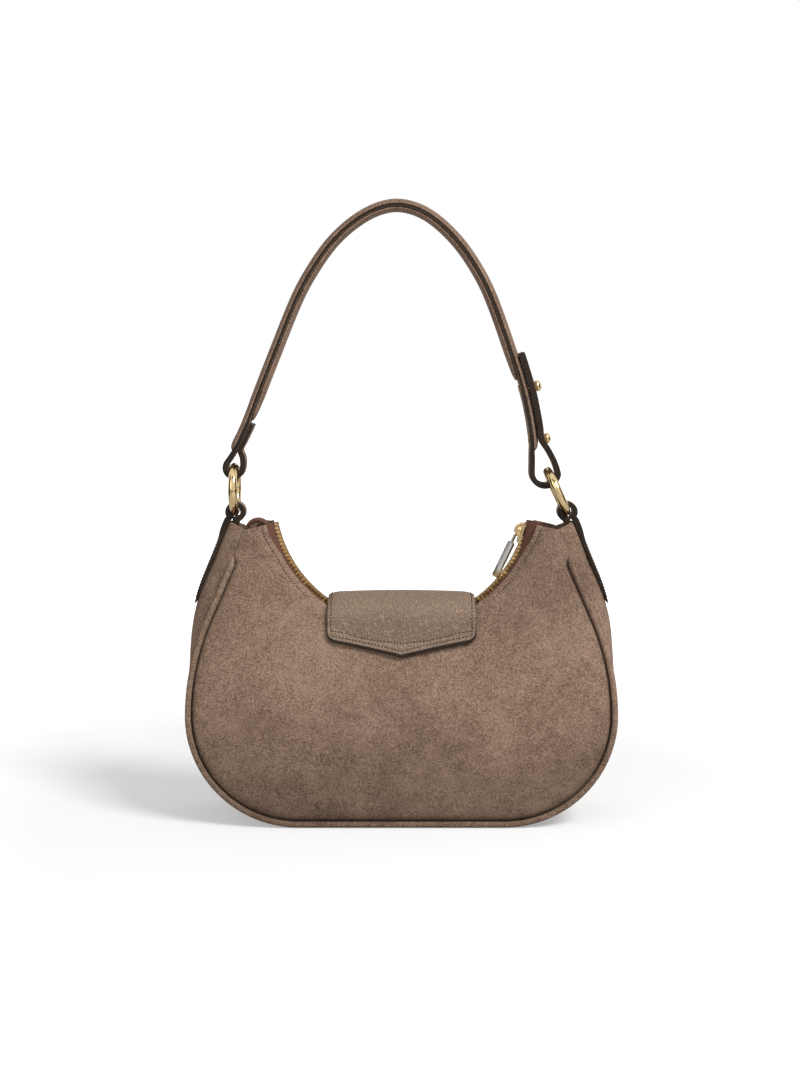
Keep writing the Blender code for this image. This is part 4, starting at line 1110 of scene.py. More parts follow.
def pale_metal_finish(name):
    """Brushed pale metal of the pull, its plating worn to gold at the free end."""
    colours = bpy.context.scene.bag_colours
    material = metal_finish(name, colours.pale_metal, 0.30, 0.22)
    tree = material.node_tree
    shader = tree.nodes["Principled BSDF"]
    place = node(tree, "ShaderNodeTexCoord").outputs["Object"]
    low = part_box("pull_tab")[0]
    tip = (low[0], 0.0, low[2])
    away = apart(tree, place, tip)
    worn = spread(tree, away, 0.0035, 0.0060, 1.0, 0.0)
    plain = shader.inputs["Base Color"].links[0].from_socket
    gold = tuple(0.42 * part for part in colours.gold)
    feed(tree, shader, {"Base Color": blended(tree, worn, plain, full(gold))})
    return material


def board_finish(name):
    """Pressed fibre board."""
    return speckled(name, bpy.context.scene.bag_colours.board, 0.85, (500.0, 4.0, 0.7), (0.75, 1.25),
                    (0.4, 0.0003))[0]


MAKERS = {
    "brushed_suede": suede_finish,
    "seam_suede": suede_finish,
    "pebbled_leather": leather_finish,
    "edge_paint": edge_finish,
    "waxed_thread": thread_finish,
    "tonal_thread": thread_finish,
    "zip_tape": tape_finish,
    "twill_lining": lining_finish,
    "polished_gold": gold_finish,
    "tumbled_brass": brass_finish,
    "brushed_pale_metal": pale_metal_finish,
    "fibre_board": board_finish,
}


def finish(name):
    """The named finish, made the first time that it is asked for."""
    return bpy.data.materials.get(name) or MAKERS[name](name)


def dress(word, *nodes):
    """Gives solids that stay in view a finish of their own."""
    for name in nodes:
        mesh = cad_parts[name].data
        mesh.materials.clear()
        mesh.materials.append(finish(word))


# Operators: one for each piece or group of like pieces


class BAG_OT_panels(bpy.types.Operator):
    """Makes the two suede panels, crowned and hollowed, rolled in at their seams"""

    bl_idname = "bag.panels"
    bl_label = "Suede panels"

    def execute(self, context):
        end = panel_edge(HALF_ARC, GAP)
        along = (mouth_point(end, MOUTH_RADIUS) - end).normalized()
        for word, side in SIDES:
            body = laid_sheet(word + "_suede", ALONG_STEPS, CHEEK_STEPS, panel_place(side),
                              lambda _: (0.0, side, 0.0), (2.0 * HALF_ARC, 0.12),
                              ["brushed_suede", "edge_paint"])
            give_wall(body, SUEDE, rim=1, rounding=0.0006)
            apply_modifiers(body)
            for face in body.data.polygons:
                off = Vector((abs(face.center.x), face.center.z)) - end
                if abs(off.x * along.y - off.y * along.x) > 0.0007:
                    face.material_index = 0
            settle(body, "bag", "suede", word + "_panel")
        return {"FINISHED"}


class BAG_OT_gusset(bpy.types.Operator):
    """Makes the suede gusset that runs down one side, under the base and up the other"""

    bl_idname = "bag.gusset"
    bl_label = "Suede gusset"

    def execute(self, context):
        body = laid_sheet("gusset_suede", ALONG_STEPS, GUSSET_STEPS, gusset_place,
                          lambda centre: (centre.x, 0.0, centre.z - CORNER_RADIUS),
                          (2.0 * HALF_ARC, 2.0 * BASE_HALF_DEPTH), ["brushed_suede", "seam_suede"])
        # Painted shade: the narrow rows next to the piping take the second, much darker suede, standing
        # for the shade in the seam's groove.
        for face in body.data.polygons:
            half = gusset_half(min(face.center.z, EAR_TOP_Z)) + GUSSET_TUCK
            if abs(face.center.y) > (1.0 - 2.0 * SEAM_ROW) * half:
                face.material_index = 1
        give_wall(body, SUEDE)
        settle(body, "bag", "suede", "gusset")
        return {"FINISHED"}


class BAG_OT_piping(bpy.types.Operator):
    """Makes the rolled piping in both seams, which thins out up the ears"""

    bl_idname = "bag.piping"
    bl_label = "Piping"

    def execute(self, context):
        reach = HALF_ARC - PIPING_TIP_MARGIN - 0.15 * PIPING_TIP_RUN
        for word, side in SIDES:
            knots = []
            radii = []
            for index in range(ALONG_STEPS + 1):
                arc = mix(-reach, reach, index / ALONG_STEPS)
                radius = max(0.00005, 0.5 * shown_inset(arc) - GAP)
                point = panel_edge(arc, radius + GAP)
                knots.append(Vector((point.x, side * (seam_depth(point.y) + PIPING_PROUD), point.y)))
                radii.append(PIPING_SWELL * radius)
            radii[0] = radii[-1] = 0.0
            body = cord_around(word + "_piping_cord", knots, radii, 14, ["brushed_suede"])
            settle(body, "bag", "suede", word + "_piping")
        return {"FINISHED"}


class BAG_OT_linings(bpy.types.Operator):
    """Makes the twill lining bag and dresses the base board and the strap's filler"""

    bl_idname = "bag.linings"
    bl_label = "Linings"

    def execute(self, context):
        top = MOUTH_RADIUS + TAPE_HEM + GAP
        reach = HALF_ARC - LINING_EAR_MARGIN
        for word, side in SIDES:

            def place(u, v):
                edge = panel_edge(mix(-reach, reach, u), LINING_EDGE_INSET)
                point = edge.lerp(mouth_point(edge, top), v)
                depth = face_at(side, point.x, point.y) - LINING_SET_IN
                return Vector((point.x, side * depth, point.y))

            body = laid_sheet(word + "_lining_cloth", 72, 14, place, lambda _: (0.0, side, 0.0),
                              (2.0 * reach, 0.10), ["twill_lining"])
            give_wall(body, LINING, rounding=0.0001, steps=1)
            settle(body, "bag", "lining", word + "_lining")

        def strip_place(u, v):
            inner_reach = HALF_ARC - GUSSET_LINING_MARGIN
            point, away = outline_point(mix(-inner_reach, inner_reach, u))
            half = gusset_half(point.y) - GAP
            set_out = -SUEDE - LINING_LOOSENESS
            return gusset_point(point, away, bulge_at(point.y), mix(-half, half, v), set_out)

        body = laid_sheet("gusset_lining_cloth", 120, 12, strip_place,
                          lambda centre: (centre.x, 0.0, centre.z - CORNER_RADIUS),
                          (2.0 * HALF_ARC, 2.0 * BASE_HALF_DEPTH), ["twill_lining"])
        give_wall(body, LINING, rounding=0.0001, steps=1)
        settle(body, "bag", "lining", "gusset_lining")
        dress("fibre_board", "base_board")
        dress("twill_lining", "strap_padding")
        return {"FINISHED"}


class BAG_OT_zip_tapes(bpy.types.Operator):
    """Makes the woven zip tapes, from the teeth to their hems, and the folded tail at the left"""

    bl_idname = "bag.zip_tapes"
    bl_label = "Zip tapes"

    def execute(self, context):
        ear = panel_edge(HALF_ARC, GAP).x
        mouth_share = atan2(ear, MOUTH_CENTRE_Z - EAR_TOP_Z) / TAPE_END - 0.004
        for word, side in SIDES:

            def row(angle, number):
                if number < 3:
                    half = (TOOTH_TIP + TAPE, BEAD_OUTER + GAP + TAPE, SLIDER_HALF_WIDTH + GAP)[number]
                    drop = TAPE_DROP * ease((ZIP_RIGHT - 0.03 - angle) / 0.12)
                    return zip_point(angle, ZIP_RADIUS + drop, side * half)
                radius = MOUTH_RADIUS + (TAPE_BEND_DROP if number == 3 else TAPE_HEM)
                x = radius * sin(angle * mouth_share)
                z = MOUTH_CENTRE_Z - radius * cos(angle * mouth_share)
                return Vector((x, side * (face_at(side, x, z) - LINING_SET_IN), z))

            def place(u, v):
                angle = mix(-TAPE_END, TAPE_END, u)
                number = min(3, int(v * 4.0))
                return row(angle, number).lerp(row(angle, number + 1), v * 4.0 - number)

            body = laid_sheet(word + "_woven_tape", 120, 12, place,
                              lambda centre: (0.0, side, centre.z - ZIP_CENTRE_Z),
                              (2.0 * TAPE_END * ZIP_RADIUS, 0.016), ["zip_tape"])
            give_wall(body, TAPE, rounding=0.0001, steps=1)
            settle(body, "bag", "tape", word + "_zip_tape")

        run = smooth_route([Vector(spot) for spot in TAIL_ROUTE], 5)

        def tail_place(u, v):
            point = run[round(u * (len(run) - 1))]
            half = mix(*TAIL_HALF_WIDTHS, u)
            return Vector((point.x, mix(-half, half, v), point.y - TAIL_SAG * (2.0 * v - 1.0) ** 2))

        tail = laid_sheet("zip_tape_tail", len(run) - 1, 10, tail_place, lambda _: (0.0, 0.0, 1.0),
                          (0.024, 0.011), ["zip_tape"])
        give_wall(tail, TAIL_THICKNESS, rounding=0.0004, steps=2)
        settle(tail, "bag", "tape")
        return {"FINISHED"}


class BAG_OT_zip_teeth(bpy.types.Operator):
    """Makes the two rows of tumbled brass teeth and dresses the end stops"""

    bl_idname = "bag.zip_teeth"
    bl_label = "Zip teeth"

    def tooth(self, bulk, height, side):
        """One tooth: a block that is broad on the tape and narrow at its tip."""
        verts = bmesh.ops.create_cube(bulk, size=1.0)["verts"]
        for vert in verts:
            outer = vert.co.y > 0.0
            vert.co.x *= TOOTH_FOOT_WIDTH if outer else TOOTH_TIP_WIDTH
            vert.co.y = side * (BEAD_OUTER if outer else -TOOTH_TIP)
            vert.co.z *= height * (TOOTH_FOOT_SHARE if outer else 1.0)
        bevel_edges(bulk, edges_of(verts), TOOTH_CHAMFER, 1)

    def execute(self, context):
        count = int(ZIP_RADIUS * (ZIP_RIGHT - ZIP_LEFT) / TEETH_PITCH)
        for word, side, shift in (("rear", -1.0, 0.0), ("front", 1.0, 0.5)):
            row = bmesh.new()
            for index in range(count):
                single = bmesh.new()
                angle = ZIP_LEFT + (index + 0.25 + shift) * TEETH_PITCH / ZIP_RADIUS
                height = TOOTH_HEIGHT if angle < SLIDER_ANGLE - 0.12 else CHAIN_THICKNESS
                self.tooth(single, height, side)
                centre = zip_point(angle, ZIP_RADIUS + 0.3 * (height - CHAIN_THICKNESS), 0.0)
                along = Vector((cos(angle), 0.0, sin(angle)))
                rise = Vector((-sin(angle), 0.0, cos(angle)))
                bmesh.ops.transform(single, matrix=axes(along, (0.0, 1.0, 0.0), rise, centre),
                                    verts=single.verts)
                bmesh.ops.recalc_face_normals(single, faces=single.faces)
                mesh = bpy.data.meshes.new("tooth")
                single.to_mesh(mesh)
                single.free()
                row.from_mesh(mesh)
                bpy.data.meshes.remove(mesh)
            body = from_bulk(word + "_brass_teeth", row, ["tumbled_brass"])
            body.data.set_sharp_from_angle(angle=radians(30.0))
            settle(body, "bag", "gold", word + "_zip_teeth")
        dress("tumbled_brass", "bottom_stop", "rear_top_stop", "front_top_stop")
        return {"FINISHED"}


class BAG_OT_slider(bpy.types.Operator):
    """Dresses the slider and makes its bail's faces and its pull"""

    bl_idname = "bag.slider"
    bl_label = "Slider and pull"

    def execute(self, context):
        dress("polished_gold", "slider_body", "slider_bail")
        along = Vector((cos(SLIDER_ANGLE), sin(SLIDER_ANGLE)))
        seat = zip_point(SLIDER_ANGLE, ZIP_RADIUS - BAIL_H, 0.0)
        centre = Vector((seat.x - BAIL_T * along.x, 0.0, seat.z - BAIL_T * along.y))
        rim = BAIL_RADIUS
        face = [(0.0, 0.0010), (0.22 * rim, 0.0009), (0.42 * rim, 0.0006), (0.56 * rim, 0.0001),
                (0.70 * rim, 0.0001), (0.76 * rim, 0.0006), (0.90 * rim, 0.0006), (0.95 * rim, 0.0),
                (0.0, 0.0)]
        for word, side in SIDES:
            place = axes((1.0, 0.0, 0.0), (0.0, 0.0, side), (0.0, side, 0.0),
                         centre + Vector((0.0, side * BAIL_HALF_WIDTH, 0.0)))
            settle(turned(word + "_bail_face", face, 32, place, ["polished_gold"]), "slider", "gold")

        pivot = Vector((PULL_PIVOT[0], 0.0, PULL_PIVOT[1]))
        tip = zip_point(SLIDER_ANGLE - PULL_LENGTH / ZIP_RADIUS, ZIP_RADIUS - PULL_TIP_H, 0.0)
        down = (tip - pivot).normalized()
        across = Vector((0.0, 1.0, 0.0))
        out = down.cross(across)
        wide = cos(PULL_TWIST) * across + sin(PULL_TWIST) * out
        thick = down.cross(wide)
        bulk = bmesh.new()
        for start, stop, width in ((PULL_NECK, PULL_LENGTH, PULL_WIDTH),
                                   (PULL_NECK_START, PULL_NECK + 0.001, PULL_NECK_WIDTH)):
            size = Matrix.Diagonal((stop - start, width, PULL_THICKNESS, 1.0))
            place = axes(down, wide, thick, pivot + 0.5 * (start + stop) * down)
            verts = bmesh.ops.create_cube(bulk, size=1.0, matrix=place @ size)["verts"]
            edges = edges_of(verts)
            if width == PULL_WIDTH:
                faces = sorted({face for vert in verts for face in vert.link_faces},
                               key=lambda face: -face.calc_area())[:2]
                bmesh.ops.inset_individual(bulk, faces=faces, thickness=PULL_RIM, depth=-PULL_HOLLOW)
                corners = [edge for edge in edges
                           if abs((edge.verts[0].co - edge.verts[1].co).normalized().dot(thick)) > 0.9]
                bevel_edges(bulk, corners, PULL_CORNER, 3)
        body = from_bulk("pull_plate", bulk, ["brushed_pale_metal"])
        body.data.set_sharp_from_angle(angle=radians(35.0))
        settle(body, "pull", "pale_gold", "pull_tab")
        return {"FINISHED"}


class BAG_OT_flap(bpy.types.Operator):
    """Makes the flap's leather in one piece across its fold, and its inner leather"""

    bl_idname = "bag.flap"
    bl_label = "Flap"

    def execute(self, context):
        steps = 84
        body = laid_sheet("flap_leather", 44, steps, flap_face(flap_total()),
                          lambda centre: (0.0, centre.y, centre.z - FLAP_HINGE_Z + 0.01),
                          (2.0 * FLAP_HALF_WIDTH, 0.12), ["pebbled_leather", "edge_paint"])
        wall = give_wall(body, flap_total() - 0.1 * GAP, rim=1, rounding=0.00045)
        weigh(body, wall,
              lambda spot: ease((FLAP_SEWN_TOP - spot.z) / FLAP_SEWN_RUN) if spot.y < 0.0 else 0.0)
        wall.thickness_vertex_group = FLAP_LEATHER / flap_total()
        apply_modifiers(body)
        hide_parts("flap_rear_tab", "flap_cover")
        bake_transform(body)

        surface = flap_face(0.55 * flap_total())
        rise = 0.45 * TAB_SHARE
        spots = [(0.0, mix(rise, 0.0, step / 16.0)) for step in range(16)]
        spots += [(step / 72.0, 0.0) for step in range(73)]
        spots += [(1.0, mix(0.0, rise, step / 16.0)) for step in range(1, 17)]
        knots = [surface(u, v) + Vector((0.0, 0.0, -0.0007 * (1.0 - v / rise))) for u, v in spots]
        radii = [mix(0.0008, 0.0012, u) * (1.0 - 0.55 * v / rise) for u, v in spots]
        radii[0] = radii[-1] = 0.0
        settle(cord_around("flap_painted_edge", knots, radii, 12, ["edge_paint"]), "bag", "leather")

        first = TAB_SHARE + 0.012

        def lining_place(u, v):
            return flap_face(FLAP_LINING)(u, mix(first, 1.0, v))

        inner = laid_sheet("flap_inner_leather", 30, 60, lining_place,
                           lambda centre: (0.0, centre.y, centre.z - FLAP_HINGE_Z + 0.01),
                           (2.0 * FLAP_HALF_WIDTH, 0.10), ["pebbled_leather", "edge_paint"])
        give_wall(inner, FLAP_LINING, rim=1, rounding=0.0002, steps=2)
        settle(inner, "flap", "leather", "flap_lining")

        seam = bmesh.new()
        sizes = context.scene.bag_sizes
        surface = flap_face(flap_total())
        side_share = 1.0 - sizes.flap_inset / FLAP_HALF_WIDTH

        def rear_level(share, rise):
            low = chevron((2.0 * share - 1.0) * FLAP_HALF_WIDTH, FLAP_REAR_POINT_Z, FLAP_REAR_SIDE_Z)
            return TAB_SHARE * rise / (FLAP_HINGE_Z - low)

        def front_level(share):
            low = chevron((2.0 * share - 1.0) * FLAP_HALF_WIDTH, FLAP_FRONT_POINT_Z, FLAP_FRONT_SIDE_Z)
            return 1.0 - (1.0 - ARCH_SHARE) * sizes.flap_inset / (FLAP_HINGE_Z - low)

        across = [mix(0.5 - 0.5 * side_share, 0.5 + 0.5 * side_share, step / 60.0) for step in range(61)]
        upper = sizes.flap_upper_row
        rows = [[(share, rear_level(share, sizes.flap_inset)) for share in across],
                [(share, rear_level(share, mix(upper, 0.8 * upper, abs(2.0 * share - 1.0))))
                 for share in across],
                [(share, front_level(share)) for share in across]]
        for edge in (across[0], across[-1]):
            rows.append([(edge, mix(rear_level(edge, sizes.flap_inset), front_level(edge), step / 90.0))
                         for step in range(91)])
        for row in rows:
            sew(seam, track_on(surface, row, lambda spot: (0.0, spot.y, spot.z - FLAP_HINGE_Z + 0.01)))
        thread = from_bulk("flap_stitches", seam, ["waxed_thread"])
        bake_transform(thread)
        return {"FINISHED"}


class BAG_OT_snap(bpy.types.Operator):
    """Makes the flap's magnetic closure: a socket on the front panel, a stud on the flap"""

    bl_idname = "bag.snap"
    bl_label = "Magnetic snap"

    def execute(self, context):
        low = Vector((0.0, face_depth(0.0, SNAP_Z - SNAP_RADIUS), SNAP_Z - SNAP_RADIUS))
        high = Vector((0.0, face_depth(0.0, SNAP_Z + SNAP_RADIUS), SNAP_Z + SNAP_RADIUS))
        up = (high - low).normalized()
        out = Vector((1.0, 0.0, 0.0)).cross(up)
        out = out if out.y > 0.0 else -out
        side = up.cross(out)
        base = Vector((0.0, face_depth(0.0, SNAP_Z), SNAP_Z))
        stud_start = SNAP_START + SNAP_SOCKET + GAP
        rim = SNAP_RADIUS
        socket = [(0.0, 0.0), (0.93 * rim, 0.0), (rim, 0.15 * SNAP_SOCKET), (rim, 0.8 * SNAP_SOCKET),
                  (0.95 * rim, SNAP_SOCKET), (0.78 * rim, SNAP_SOCKET), (0.74 * rim, 0.72 * SNAP_SOCKET),
                  (0.34 * rim, 0.72 * SNAP_SOCKET), (0.30 * rim, 0.45 * SNAP_SOCKET),
                  (0.0, 0.45 * SNAP_SOCKET)]
        stud = [(0.0, 0.0), (0.26 * rim, 0.0), (0.30 * rim, 0.12 * SNAP_STUD),
                (0.70 * rim, 0.12 * SNAP_STUD), (0.94 * rim, 0.0), (rim, 0.15 * SNAP_STUD),
                (rim, 0.85 * SNAP_STUD),
                (0.94 * rim, SNAP_STUD), (0.0, SNAP_STUD)]
        body = turned("snap_socket_disc", socket, 48, axes(side, up, out, base + SNAP_START * out),
                      ["polished_gold"])
        settle(body, "bag", "gold", "snap_socket")
        body = turned("snap_stud_disc", stud, 48, axes(side, up, out, base + stud_start * out),
                      ["polished_gold"])
        settle(body, "flap", "gold", "snap_stud")
        return {"FINISHED"}


class BAG_OT_side_tabs(bpy.types.Operator):
    """Makes the leather tabs that run down the gusset and loop round the rings"""

    bl_idname = "bag.side_tabs"
    bl_label = "Side tabs"

    def rows(self, side):
        """The tab's middle line with all that goes along it, made smooth."""
        route = tab_route(side)[0]
        flat = [Vector((*point, *away, bulge, out, wide)) for point, away, bulge, out, wide in route]
        return smooth_route(flat, 5)

    def leather(self, height):
        """The tab's thickness: thin at its tip, thick in the loop."""
        share = (height - EAR_TOP_Z + TAB_LENGTH) / TAB_LENGTH
        thickness = mix(TAB_TIP_LEATHER, TAB_SHOWN_LEATHER, ease(1.6 * share))
        return mix(thickness, TAB_LOOP_LEATHER, ease(4.0 * (share - 0.76)))

    def spot(self, row, y, set_out):
        """A point off the gusset's crest: the stiff tab bends across less than the gusset does."""
        set_out -= 0.5 * max(0.0, TAB_LEATHER - self.leather(row[1]))
        point = gusset_point(Vector(row[0:2]), Vector(row[2:4]), row[4], TAB_FLATNESS * y, set_out)
        point.y = y
        return point

    def execute(self, context):
        sizes = context.scene.bag_sizes
        for word, side in (("left", -1.0), ("right", 1.0)):
            rows = self.rows(side)
            steps = len(rows) - 1

            def place(u, v):
                row = rows[round(u * steps)]
                return self.spot(row, mix(-row[6], row[6], v), row[5])

            body = laid_sheet(word + "_tab_leather", steps, 12, place,
                              lambda centre: (side * (centre.z < EAR_TOP_Z), 0.0, 0.0),
                              (0.10, 2.0 * TAB_HALF_WIDTH), ["pebbled_leather", "edge_paint"])
            wall = give_wall(body, TAB_LOOP_LEATHER, 0.0, rim=1, rounding=0.00045)
            weigh(body, wall, lambda spot: self.leather(spot.z) / TAB_LOOP_LEATHER)
            settle(body, "bag", "leather", word + "_side_tab")
            seam = bmesh.new()
            for edge in (-1.0, 1.0):
                track = []
                for row in rows[2:34]:
                    wide = edge * (row[6] - sizes.flap_inset)
                    skin = row[5] + 0.5 * self.leather(row[1]) - 0.0001
                    point = self.spot(row, wide, skin)
                    track.append((point, (self.spot(row, wide, skin + 0.001) - point).normalized()))
                sew(seam, track)
            thread = from_bulk(word + "_tab_stitches", seam, ["waxed_thread"])
            settle(thread, "bag", "leather")
        return {"FINISHED"}


class BAG_OT_rings(bpy.types.Operator):
    """Makes the two round gold rings"""

    bl_idname = "bag.rings"
    bl_label = "Rings"

    def execute(self, context):
        centres = ring_centres()
        for word, centre, lean in (("left", centres[0], 0.0), ("right", centres[1], RING_LEAN)):
            bulk = bmesh.new()
            bmesh.ops.create_circle(bulk, segments=24, radius=RING_SHOWN_WIRE,
                                    matrix=Matrix.Translation((RING_RADIUS, 0.0, 0.0))
                                    @ Matrix.Rotation(pi / 2.0, 4, "X"))
            spin_round(bulk, bulk.verts[:] + bulk.edges[:], 96)
            close_up(bulk)
            turn = Matrix.Rotation(pi / 2.0 - lean, 4, "Y")
            place = Matrix.Translation((centre.x, 0.0, centre.y)) @ turn
            bmesh.ops.transform(bulk, matrix=place, verts=bulk.verts)
            body = from_bulk(word + "_gold_ring", bulk, ["polished_gold"])
            settle(body, word + "_ring_body", "gold", word + "_ring")
        return {"FINISHED"}


class BAG_OT_strap(bpy.types.Operator):
    """Makes the strap's leather strip with its loops, and its domed suede strips"""

    bl_idname = "bag.strap"
    bl_label = "Strap"

    def leather(self, spot, dense):
        """The strip's thickness: thin under its suede, fuller where bare, thick in its loops."""
        share = loop_share(spot.z)
        if spot.x > 0.0:
            away = min((point - Vector((spot.x, spot.z))).length for point in dense)
            share = max(share, ease(away / STRAP_LEATHER - 1.0))
        bare = UNDERLAY_LEFT_RISE + BARE_RUN if spot.x < 0.0 else UNDERLAY_RIGHT_RISE
        share = max(share, BARE_SHARE * ease((STRAP_FOOT_Z + bare - spot.z) / BARE_RUN))
        return mix(STRAP_RUN_LEATHER, STRAP_LOOP_LEATHER, share)

    def domed(self, name, node_name, starts, facing, height, seam):
        """A domed suede strip on one side of the strap, and its two stitch rows."""
        main = smooth_route(strap_routes()[0], 4)
        sides = normals_of(main)
        kept = [index for index, point in enumerate(main)
                if point.y > STRAP_FOOT_Z + starts[0 if point.x < 0.0 else 1]]
        first, last = kept[0], kept[-1]
        lengths = [0.0]
        for index in range(first, last):
            lengths.append(lengths[-1] + (main[index + 1] - main[index]).length)
        base = 0.5 * STRAP_RUN_LEATHER + 0.5 * GAP
        height += 0.5 * (STRAP_LEATHER - STRAP_RUN_LEATHER)
        tongue = OVERLAY_TONGUE if facing > 0.0 else UNDERLAY_TAPER

        def end_share(index):
            near = min(lengths[index - first], lengths[-1] - lengths[index - first])
            return sqrt(max(0.0, 1.0 - max(0.0, 1.0 - near / tongue) ** 2))

        def spot(index, v):
            wide = OVERLAY_HALF_WIDTH * mix(0.55, 1.0, end_share(index))
            y = mix(-wide, wide, v)
            bow = (height - OVERLAY_EDGE) * mix(0.2, 1.0, end_share(index))
            bow *= (1.0 - (y / wide) ** 2) ** 0.85
            point = main[index] + facing * (base + OVERLAY_EDGE + bow) * sides[index]
            return Vector((point.x, y, point.y))

        def place(u, v):
            return spot(round(mix(first, last, u)), v)

        body = laid_sheet(name, last - first, 16, place,
                          lambda centre: (facing * centre.x, 0.0, facing * (centre.z - STRAP_FOOT_Z)),
                          (lengths[-1], 2.0 * OVERLAY_HALF_WIDTH), ["brushed_suede"])
        give_wall(body, OVERLAY_EDGE, rounding=0.0003, steps=2)
        settle(body, "strap", "suede", node_name)
        for v in (0.09, 0.91):
            track = [(spot(index, v), Vector((facing * sides[index].x, 0.0, facing * sides[index].y)))
                     for index in range(first + 4, last - 3)]
            sew(seam, track)

    def execute(self, context):
        main, knots = strap_routes()
        whole = smooth_route(knots, 4)
        dense = smooth_route(main, 12)
        widths = [mix(STRAP_HALF_WIDTH, STRAP_LOOP_HALF_WIDTH, loop_share(point.y)) for point in whole]
        steps = len(whole) - 1

        def place(u, v):
            index = round(u * steps)
            return Vector((whole[index].x, mix(-widths[index], widths[index], v), whole[index].y))

        body = laid_sheet("strap_leather", steps, 6, place, lambda _: (0.0, 1.0, 0.0),
                          (0.55, 2.0 * STRAP_HALF_WIDTH), ["pebbled_leather", "edge_paint"])
        wall = give_wall(body, STRAP_LOOP_LEATHER, 0.0, rim=1, rounding=0.0003)
        weigh(body, wall, lambda spot: self.leather(spot, dense) / STRAP_LOOP_LEATHER)
        settle(body, "strap", "leather", "strap_base")
        seam = bmesh.new()
        self.domed("strap_outer_suede", "strap_overlay", (OVERLAY_END_RISE, OVERLAY_END_RISE), 1.0,
                   OVERLAY_DOME, seam)
        self.domed("strap_inner_suede", "strap_underlay", (UNDERLAY_LEFT_RISE, UNDERLAY_RIGHT_RISE),
                   -1.0, UNDERLAY_DOME, seam)
        thread = from_bulk("strap_stitches", seam, ["tonal_thread"])
        settle(thread, "strap", "leather")
        return {"FINISHED"}


class BAG_OT_studs(bpy.types.Operator):
    """Makes the two ball studs and their round screws"""

    bl_idname = "bag.studs"
    bl_label = "Studs"

    def execute(self, context):
        main = strap_routes()[0]
        sides = normals_of(main)
        right = [index for index, point in enumerate(main) if point.x > 0.0]
        seat = 1.5 * STRAP_LEATHER + OVERLAY_DOME + 4.0 * GAP
        top = seat + STUD_HEAD_HEIGHT
        middle = mix(seat, top, 0.40)
        bottom = -0.5 * STRAP_LEATHER
        for word, rise in (("upper_stud", UPPER_STUD_RISE), ("lower_stud", LOWER_STUD_RISE)):
            index = min(right, key=lambda number: abs(main[number].y - STRAP_FOOT_Z - rise))
            out = Vector((sides[index].x, 0.0, sides[index].y))
            across = Vector((0.0, 1.0, 0.0))
            place = axes(across.cross(out), across, out, (main[index].x, 0.0, main[index].y))
            head = [(0.0, top)]
            for degrees in range(8, 96, 8):
                turn = radians(degrees)
                head.append((STUD_HEAD_RADIUS * sin(turn), middle + (top - middle) * cos(turn)))
            head += [(STUD_FOOT_RADIUS, seat + 0.14 * STUD_HEAD_HEIGHT), (0.93 * STUD_FOOT_RADIUS, seat),
                     (STUD_SHANK_RADIUS, seat), (STUD_SHANK_RADIUS, bottom), (0.0, bottom)]
            settle(turned(word + "_ball", head, 36, place, ["polished_gold"]), "strap", "gold", word)
            under = bottom - GAP + SCREW_SINK
            rim = SCREW_HEAD_RADIUS
            disc = [(0.0, under), (0.96 * rim, under), (rim, under - 0.0002), (rim, under - SCREW_STEP),
                    (0.9 * rim, under - SCREW_HEAD), (0.62 * rim, under - SCREW_HEAD),
                    (0.56 * rim, under - SCREW_STEP), (0.0, under - SCREW_STEP)]
            settle(turned(word + "_screw_disc", disc, 36, place, ["polished_gold"]), "strap", "gold",
                   word + "_screw")
        return {"FINISHED"}


class BAG_OT_stitches(bpy.types.Operator):
    """Sews the stitch rows round the mouth and along the ears' top edges"""

    bl_idname = "bag.stitches"
    bl_label = "Body stitches"

    def execute(self, context):
        sizes = context.scene.bag_sizes
        seam = bmesh.new()
        for side in (-1.0, 1.0):
            surface = panel_place(side)

            def level(u, inset):
                arc = mix(-HALF_ARC, HALF_ARC, u)
                edge = panel_edge(arc, panel_inset(arc))
                span = (edge - mouth_point(edge, MOUTH_RADIUS)).length
                return 1.0 - inset / (span + mouth_rise(arc) + seam_reach(arc))

            def hidden(u):
                x = surface(u, level(u, sizes.mouth_inset)).x
                return side < 0.0 and abs(x) < FLAP_HALF_WIDTH + 0.001

            end_share = sizes.ear_inset / (2.0 * HALF_ARC)
            shares = [mix(end_share, 1.0 - end_share, step / 400.0) for step in range(401)]
            left = [u for u in shares if u < 0.5 and not hidden(u)]
            right = [u for u in shares if u >= 0.5 and not hidden(u)]
            rows = [[(u, level(u, sizes.mouth_inset)) for u in part] for part in (left, right)]
            for u in (end_share, 1.0 - end_share):
                top = level(u, sizes.mouth_inset)
                rows.append([(u, mix(0.06, top, step / 30.0)) for step in range(31)])
            for row in rows:
                sew(seam, track_on(surface, row, lambda _: (0.0, side, 0.0)))
        settle(from_bulk("body_stitches", seam, ["waxed_thread"]), "bag", "suede")
        return {"FINISHED"}


